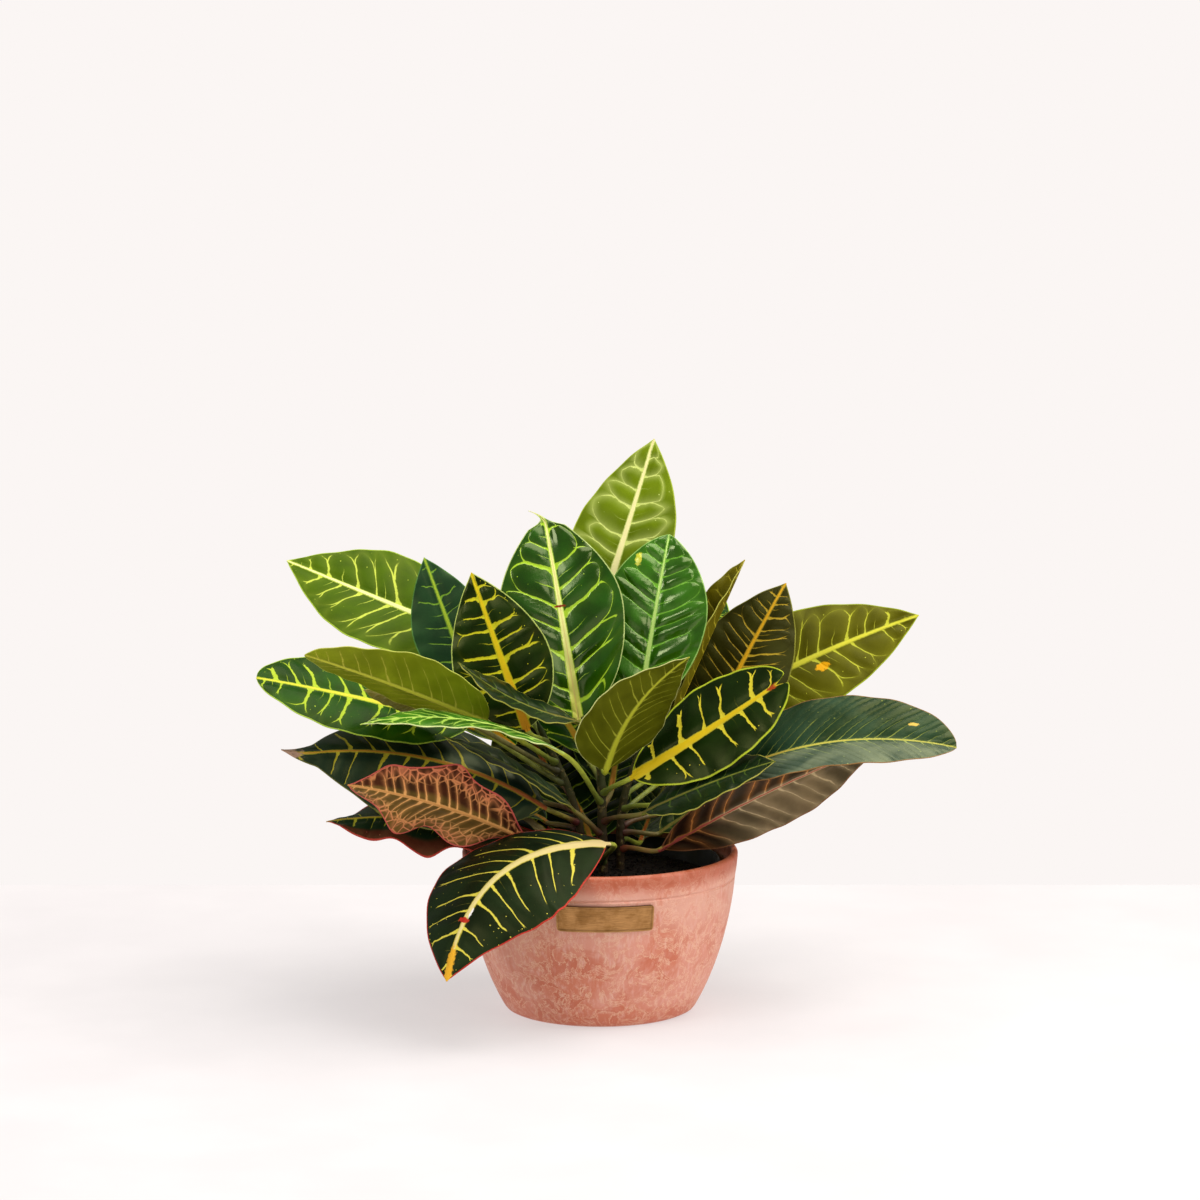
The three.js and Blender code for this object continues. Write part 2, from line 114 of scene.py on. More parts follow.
# %% [markdown]
# ## Light, floor and background
#
# The plant stands on a pale table in front of a pale wall, in soft light from above and a
# little from the right, which leaves a soft shadow under the leaves on the left. A flat
# floor whose far edge lies behind the pot gives the faint line between table and wall.
# The background shows pale, but it lights the leaves less than it shows, because dark
# glossy leaves would mirror an all-white room and turn grey. The table glows a little
# by itself for the same reason: it stays pale in the shadow without brighter lamps.

# %% Floor
FLOOR_BACK = 0.385
FLOOR_FRONT = -6.0
FLOOR_WIDE = 6.0

bpy.ops.object.select_all(action="DESELECT")
bpy.ops.mesh.primitive_plane_add(size=1, location=(0, 0, 0))
floor = call_it("floor")
floor.scale = (FLOOR_WIDE, FLOOR_BACK - FLOOR_FRONT, 1)
floor.location = (0, (FLOOR_BACK + FLOOR_FRONT) / 2, 0)
bpy.ops.object.transform_apply(location=True, rotation=True, scale=True)
print("floor from", FLOOR_FRONT, "to", FLOOR_BACK, "metres")

# %% Background
WALL_COLOUR = paint("#fbf6f4")
ROOM_COLOUR = paint("#fbf8f6")
ROOM_LIGHT = 0.3

world = bpy.data.worlds.new("pale_room")
world.use_nodes = True
bpy.context.scene.world = world
room = world.node_tree
room.nodes.clear()
seen = room.nodes.new("ShaderNodeBackground")
seen.inputs["Color"].default_value = WALL_COLOUR
lighting = room.nodes.new("ShaderNodeBackground")
lighting.inputs["Color"].default_value = ROOM_COLOUR
lighting.inputs["Strength"].default_value = ROOM_LIGHT
ray = room.nodes.new("ShaderNodeLightPath")
choose = room.nodes.new("ShaderNodeMixShader")
room.links.new(ray.outputs["Is Camera Ray"], choose.inputs[0])
room.links.new(lighting.outputs[0], choose.inputs[1])
room.links.new(seen.outputs[0], choose.inputs[2])
room.links.new(choose.outputs[0], room.nodes.new("ShaderNodeOutputWorld").inputs["Surface"])
bpy.context.scene.view_settings.view_transform = "Standard"
print("room light", ROOM_LIGHT)

# %% Lamps
PLANT_MIDDLE = Vector((0, 0, 0.2))


def softbox(name, place, size, watts, colour):
    """A square area lamp that faces the plant."""
    bpy.ops.object.select_all(action="DESELECT")
    bpy.ops.object.light_add(type="AREA", location=place)
    lamp = call_it(name)
    lamp.data.size = size
    lamp.data.energy = watts
    lamp.data.color = paint(colour)[:3]
    lamp.rotation_euler = (PLANT_MIDDLE - Vector(place)).to_track_quat("-Z", "Y").to_euler()
    print(name, watts, "W")


softbox("softbox_above", (0.7, 0.0, 2.4), 2.6, 84, "#fffdfa")
softbox("window_front_left", (-1.9, -1.7, 1.7), 1.1, 30, "#fbfbff")
softbox("window_front_right", (1.7, -1.9, 1.3), 1.0, 12, "#fffaf4")
softbox("window_right", (2.2, -0.4, 0.9), 0.9, 14, "#fff8f8")

# %% [markdown]
# ## Wiring shaders in code
#
# A shader is a tree of small nodes. This class adds nodes to one tree. Every value may be
# a number, a colour or another node's output, so that a formula reads like a formula. By
# hand one would add the same nodes in the shader editor and join them one by one.

# %% Wiring helper


class Wires:
    """Adds nodes to one shader tree and joins them."""

    def __init__(self, tree):
        self.tree = tree

    def put(self, value, socket):
        if isinstance(value, bpy.types.NodeSocket):
            self.tree.links.new(value, socket)
        elif value is not None:
            socket.default_value = value

    def math(self, operation, a, b=None):
        node = self.tree.nodes.new("ShaderNodeMath")
        node.operation = operation
        self.put(a, node.inputs[0])
        self.put(b, node.inputs[1])
        return node.outputs[0]

    def times(self, a, b):
        return self.math("MULTIPLY", a, b)

    def plus(self, a, b):
        return self.math("ADD", a, b)

    def minus(self, a, b):
        return self.math("SUBTRACT", a, b)

    def over(self, a, b):
        return self.math("DIVIDE", a, b)

    def most(self, a, b):
        return self.math("MAXIMUM", a, b)

    def absolute(self, a):
        return self.math("ABSOLUTE", a)

    def either_way(self, luck, width):
        """A random number from 0 to 1 as a shift of up to half the width to either side."""
        return self.times(self.minus(luck, 0.5), width)

    def ramp(self, value, start, end, low=0.0, high=1.0):
        """Rises smoothly from low to high while value goes from start to end."""
        node = self.tree.nodes.new("ShaderNodeMapRange")
        node.interpolation_type = "SMOOTHSTEP"
        for slot_name, given in (("Value", value), ("From Min", start), ("From Max", end),
                                 ("To Min", low), ("To Max", high)):
            self.put(given, node.inputs[slot_name])
        return node.outputs[0]

    def fall(self, value, start, end, high=1.0):
        """Falls smoothly from high to 0 while value goes from start to end."""
        return self.ramp(value, start, end, high, 0.0)

    def mix(self, share, a, b):
        """Colour a, covered by colour b as far as the share says."""
        node = self.tree.nodes.new("ShaderNodeMix")
        node.data_type = "RGBA"
        node.clamp_factor = True
        self.put(share, node.inputs[0])
        self.put(a, node.inputs[6])
        self.put(b, node.inputs[7])
        return node.outputs[2]

    def split(self, vector):
        node = self.tree.nodes.new("ShaderNodeSeparateXYZ")
        self.put(vector, node.inputs[0])
        return node.outputs

    def join(self, x, y, z=0.0):
        node = self.tree.nodes.new("ShaderNodeCombineXYZ")
        for value, socket in zip((x, y, z), node.inputs):
            self.put(value, socket)
        return node.outputs[0]

    def noise(self, vector, scale, detail=2.0, rough=0.5, bend=0.0):
        node = self.tree.nodes.new("ShaderNodeTexNoise")
        self.put(vector, node.inputs["Vector"])
        self.put(scale, node.inputs["Scale"])
        self.put(detail, node.inputs["Detail"])
        self.put(rough, node.inputs["Roughness"])
        self.put(bend, node.inputs["Distortion"])
        return node.outputs[0]

    def cells(self, vector, scale, feature="F1"):
        node = self.tree.nodes.new("ShaderNodeTexVoronoi")
        node.feature = feature
        self.put(vector, node.inputs["Vector"])
        self.put(scale, node.inputs["Scale"])
        return node.outputs

    def dice(self, value):
        """Three random numbers for each whole number."""
        node = self.tree.nodes.new("ShaderNodeTexWhiteNoise")
        node.noise_dimensions = "1D"
        self.put(value, node.inputs["W"])
        colour = self.tree.nodes.new("ShaderNodeSeparateColor")
        self.tree.links.new(node.outputs["Color"], colour.inputs[0])
        return colour.outputs

    def map(self, name):
        """One of the maps that a piece carries on its surface."""
        node = self.tree.nodes.new("ShaderNodeUVMap")
        node.uv_map = name
        return node.outputs[0]

    def place(self):
        """The point's place on the object, in metres."""
        return self.tree.nodes.new("ShaderNodeTexCoord").outputs["Object"]

    def squeezed_upright(self, vector, scale):
        """The same place with its height scaled, for streaks that run up or along."""
        node = self.tree.nodes.new("ShaderNodeMapping")
        node.inputs["Scale"].default_value = (1.0, 1.0, scale)
        self.put(vector, node.inputs["Vector"])
        return node.outputs[0]

    def group(self, group, **values):
        """A copy of a shader group with its inputs given by name."""
        node = self.tree.nodes.new("ShaderNodeGroup")
        node.node_tree = group
        for name, value in values.items():
            self.put(value, node.inputs[name.replace("_", " ")])
        return node.outputs


def new_group(name, inputs, outputs):
    """An empty shader group with named sockets: its wires, its inputs and its outputs."""
    group = bpy.data.node_groups.new(name, "ShaderNodeTree")
    for label, kind in inputs:
        group.interface.new_socket(label, in_out="INPUT", socket_type="NodeSocket" + kind)
    for label, kind in outputs:
        group.interface.new_socket(label, in_out="OUTPUT", socket_type="NodeSocket" + kind)
    given = group.nodes.new("NodeGroupInput").outputs
    result = group.nodes.new("NodeGroupOutput").inputs
    return group, Wires(group), given, result


def new_material(name, roughness=0.5, metallic=0.0):
    """A material with one Principled shader: its wires and that shader's inputs."""
    material = bpy.data.materials.new(name)
    material.use_nodes = True
    shader = material.node_tree.nodes["Principled BSDF"]
    shader.inputs["Roughness"].default_value = roughness
    shader.inputs["Metallic"].default_value = metallic
    return material, Wires(material.node_tree), shader.inputs


def add_bump(wires, inputs, height, strength, distance_mm):
    """Lets a height pattern tilt the light on the surface."""
    node = wires.tree.nodes.new("ShaderNodeBump")
    node.inputs["Strength"].default_value = strength
    node.inputs["Distance"].default_value = distance_mm * MM
    wires.put(height, node.inputs["Height"])
    wires.put(node.outputs[0], inputs["Normal"])


# %% Floor finish
FLOOR_GLOW = 0.53

floor_paint, wires, inputs = new_material("floor_white", roughness=0.7)
marks = wires.noise(wires.place(), 9.0, detail=4.0)
wires.put(wires.mix(wires.ramp(marks, 0.3, 0.75), paint("#9d9998"), paint("#a4a09f")),
          inputs["Base Color"])
inputs["Specular IOR Level"].default_value = 0.1
inputs["Emission Color"].default_value = paint("#fbf6f6")
inputs["Emission Strength"].default_value = FLOOR_GLOW
floor.data.materials.append(floor_paint)
print("floor painted")

# %% [markdown]
# ## The vein pattern
#
# A croton leaf is read by its veins: a broad pale midrib, side veins that leave it in
# turn, split in two before the margin and meet their neighbours in loops, fine short
# veins between them, a thin pale or red edge, and yellow spots. None of this needs an
# image. Each leaf carries maps that follow its surface: "blade" gives the way along from
# foot to tip, "veins" counts the side veins along the midrib and gives the way out to
# the margin from 0 to 1, and "span" gives the distances across and along the blade in
# millimetres.
#
# The patch of leaf between two side veins is a cell with a rounded outer end. So one
# formula draws both the veins and their loops: straight walls up to the start of the
# loop, and beyond it a blunt end, rounder than a point and sharper than an ellipse. The
# cell also swells between its walls, which makes the leaf look quilted. Even veins would
# look printed, so every cell draws its own luck for its length, and noise bends the lines.

# %% Vein group: the paths
BLUNT = 1.5
WANDER, CROOKED = 0.3, 0.1
START_SPREAD, END_SPREAD = 0.26, 0.2
GLOW_REACH = 0.8
MASKS = ("Veins", "Midrib", "Core", "Margin", "Spots", "Net", "Dome", "Near", "Ragged")

vein_group, g, given, result = new_group(
    "croton_veins",
    [("Veins map", "Vector"), ("Span map", "Vector"), ("Along", "Float"), ("Spacing", "Float"),
     ("Vein width", "Float"), ("Midrib width", "Float"), ("Loop start", "Float"),
     ("Loop end", "Float"), ("Reach", "Float"), ("Side veins", "Float"),
     ("Margin width", "Float"), ("Spots", "Float")],
    [(name, "Float") for name in MASKS],
)
count, away = g.split(given["Veins map"])[:2]
across = g.absolute(g.split(given["Span map"])[0])
ragged = g.minus(g.noise(given["Span map"], 0.55, detail=3.0), 0.5)
g.put(ragged, result["Ragged"])
wander = g.minus(g.noise(g.join(g.times(count, 0.9), g.times(away, 2.0)), 1.0, detail=1.0), 0.5)
crooked = g.minus(g.noise(g.join(g.times(count, 1.9), g.times(away, 5.0), 3.0), 1.0), 0.5)
bent = g.plus(g.plus(count, g.times(wander, WANDER)), g.times(crooked, CROOKED))
cell = g.math("ROUND", bent)
inner = g.times(g.absolute(g.minus(bent, cell)), 2.0)
luck = g.dice(g.plus(cell, 0.37))
start = g.plus(given["Loop start"], g.either_way(luck[0], START_SPREAD))
end = g.plus(given["Loop end"], g.either_way(luck[1], END_SPREAD))
out = g.over(g.most(g.minus(away, start), 0.0), g.minus(end, start))
ring = g.plus(g.math("POWER", inner, BLUNT), g.math("POWER", out, BLUNT))
ring = g.math("POWER", ring, 1 / BLUNT)
half_cell = g.times(given["Spacing"], 0.5)
to_vein = g.times(g.absolute(g.minus(ring, 1.0)), half_cell)
dome = g.minus(1.0, g.math("MINIMUM", g.times(ring, ring), 1.0))
g.put(g.times(dome, g.ramp(away, 0.0, 0.15)), result["Dome"])
close = g.most(g.minus(1.0, g.over(to_vein, g.times(half_cell, GLOW_REACH))), 0.0)
g.put(g.times(close, close), result["Near"])
print("vein paths:", len(g.tree.nodes), "nodes")

# %% [markdown]
# A side vein is thickest where it leaves the midrib, thins on its way out, and is drawn
# thicker here and thinner there, as if by a brush. Its two arms round the end of a cell
# are thinner than the vein itself, and some veins stop short of the margin. Between two
# side veins, many leaves have one short vein more, in the middle of the cell.

# %% Vein group: the thickness
THIN, LUCKY = 0.3, 0.3
FLARE_END = 0.22
FADE = 0.16

vein_luck = g.dice(g.math("FLOOR", bent))
thick = g.times(given["Vein width"], g.plus(THIN, g.times(vein_luck[2], LUCKY)))
thick = g.times(thick, g.minus(1.0, g.times(away, 0.5)))
thick = g.plus(thick, g.times(given["Vein width"], g.fall(away, 0.0, FLARE_END, 0.55)))
thick = g.times(thick, g.ramp(out, 0.05, 0.5, 1.0, 0.5))
thick = g.times(thick, g.ramp(g.plus(ragged, crooked), -0.3, 0.3, 0.55, 1.25))
far = g.times(given["Reach"], g.plus(0.85, g.times(vein_luck[0], 0.25)))
thick = g.times(thick, g.fall(away, g.minus(far, FADE), far))
rough_edge = g.plus(to_vein, g.times(ragged, 0.5))
veins = g.fall(rough_edge, g.minus(thick, 0.2), g.plus(thick, 0.35))
veins = g.times(veins, g.ramp(thick, 0.02, 0.3))

short_thick = g.times(given["Side veins"], g.fall(away, 0.08, 0.5, 0.5))
short_thick = g.times(short_thick, g.math("GREATER_THAN", luck[2], 0.35))
to_short = g.plus(g.times(inner, half_cell), g.times(ragged, 0.6))
short = g.fall(to_short, g.minus(short_thick, 0.15), g.plus(short_thick, 0.25))
short = g.times(g.times(short, g.ramp(short_thick, 0.0, 0.2)), 0.75)
print("with their thickness:", len(g.tree.nodes), "nodes")

# %% [markdown]
# The midrib tapers from foot to tip, with its own core and a ragged border. The margin is
# found by its distance in millimetres, so that its pale line is as wide on a broad leaf
# as on a slim one. Spots are the middles of random cells, of which only some are picked,
# and the fine net of an old leaf is the walls of such cells.

# %% Vein group: midrib, edge, spots and net
rib = g.times(given["Midrib width"], g.ramp(given["Along"], -0.5, 1.15, 0.62, 0.08))
rib_edge = g.plus(across, g.times(ragged, 0.9))
g.put(g.fall(rib_edge, g.minus(rib, 0.3), g.plus(rib, 0.4)), result["Midrib"])
g.put(g.fall(across, g.times(rib, 0.1), g.times(rib, 0.3)), result["Core"])
beside_rib = g.fall(rib_edge, g.plus(rib, 0.2), g.plus(rib, 1.1), 0.8)
g.put(g.most(g.most(veins, short), beside_rib), result["Veins"])

to_margin = g.over(g.times(across, g.minus(1.0, away)), g.most(away, 0.05))
edge = g.plus(to_margin, g.times(ragged, 0.8))
g.put(g.fall(edge, g.times(given["Margin width"], 0.6), g.times(given["Margin width"], 1.5)),
      result["Margin"])

dots = g.cells(given["Span map"], 0.3)
dot_luck = g.split(dots["Color"])
drop = g.plus(0.05, g.times(dot_luck[1], 0.16))
drops = g.fall(dots["Distance"], g.times(drop, 0.6), drop)
picked = g.math("LESS_THAN", dot_luck[0], given["Spots"])
g.put(g.times(g.times(drops, picked), g.ramp(away, 0.3, 0.6)), result["Spots"])

net_lines = g.cells(given["Span map"], 0.145, "DISTANCE_TO_EDGE")
net = g.fall(g.plus(net_lines["Distance"], g.times(ragged, 0.06)), 0.02, 0.1)
g.put(g.times(net, g.ramp(away, 0.35, 0.6)), result["Net"])
print("vein group finished:", len(g.tree.nodes), "nodes")

# %% [markdown]
# ## Painting a leaf
#
# A second group lays the colours over one another by those masks, from the field up:
# tone, a glow beside the veins, net, spots, edge, side veins and midrib. Towards the
# margin the veins may blush in the colour of the edge. The group also puts out the
# height of the fine relief. Roughness and the shader itself stay in the material.

# %% Paint group
RIB_RELIEF, VEIN_RELIEF = 0.4, -0.25

paint_group, g, given, result = new_group(
    "croton_paint",
    [(name, "Float") for name in (*MASKS, "Along", "Tone")]
    + [(name, "Color") for name in ("Field", "Field light", "Vein", "Rib", "Rib foot",
                                    "Rib core", "Edge")]
    + [(name, "Float") for name in ("Glow", "Net amount", "Core amount", "Quilt", "Away",
                                    "Blush")],
    [("Colour", "Color"), ("Height", "Float")],
)
colour = g.mix(given["Tone"], given["Field"], given["Field light"])
blush = g.times(g.ramp(given["Away"], 0.35, 0.9), given["Blush"])
vein_colour = g.mix(blush, given["Vein"], given["Edge"])
colour = g.mix(g.times(given["Near"], given["Glow"]), colour, vein_colour)
colour = g.mix(g.times(given["Net"], given["Net amount"]), colour, vein_colour)
colour = g.mix(given["Spots"], colour, given["Vein"])
colour = g.mix(given["Margin"], colour, given["Edge"])
colour = g.mix(given["Veins"], colour, vein_colour)
rib_colour = g.mix(g.ramp(given["Along"], 0.0, 0.5), given["Rib foot"], given["Rib"])
rib_colour = g.mix(g.times(given["Core"], given["Core amount"]), rib_colour, given["Rib core"])
g.put(g.mix(given["Midrib"], colour, rib_colour), result["Colour"])
relief = g.plus(g.times(given["Dome"], given["Quilt"]), g.times(given["Veins"], VEIN_RELIEF))
g.put(g.plus(relief, g.times(given["Midrib"], RIB_RELIEF)), result["Height"])
print("paint group:", len(g.tree.nodes), "nodes")

# %% [markdown]
# ## The looks of the leaves
#
# Croton leaves change colour as they age, and every leaf of this plant shows its own
# stage. A look holds the colours of the upper face, of the paler under face and of the
# stalk, and how the veins run. "spacing", "width", "midrib" and "margin" are in
# millimetres. "start", "end" and "reach" say where the loops start and end and how far
# the veins get, as shares of the way out to the margin. "lean" and "curve" slant the
# side veins and bend them towards the tip. "side", "spots", "glow", "net" and "blush"
# are amounts. "quilt" is the relief between the veins that only the light shows, and
# "swell" is how many millimetres the blade really rises there.
#
# A patch colours one half of a face from "start" outwards, and the foot of the blade as
# far as "foot", a share of the blade's length, or nowhere when it is -1. A mark is a
# single spot or scar: where it is across and along the blade, its half width and half
# length in millimetres, and its colour.

# %% Leaf looks
PLAIN = dict(
    field="#15400f", light="#235618", vein="#b4cf36", rib="#e9e6a0", foot=None, core=None,
    edge="#a8bd6a", under_field="#6a7412", under_light="#7d861e", under_vein="#b5b23c",
    under_rib="#c3c846", stalk="#7f9434", stalk_foot="#5f6a26", spacing=13.0, width=1.5,
    midrib=5.0, start=0.55, end=0.86, reach=1.0, side=0.4, margin=0.7, spots=0.0, glow=0.06,
    net=0.0, lean=0.4, curve=0.004, quilt=1.0, swell=0.5, rough=0.34, sheen=0.35, tint="#ffffa0",
    patch=None, marks=(), blush=0.0, slot="leaf_green",
)


def look(**changes):
    return {**PLAIN, **changes}


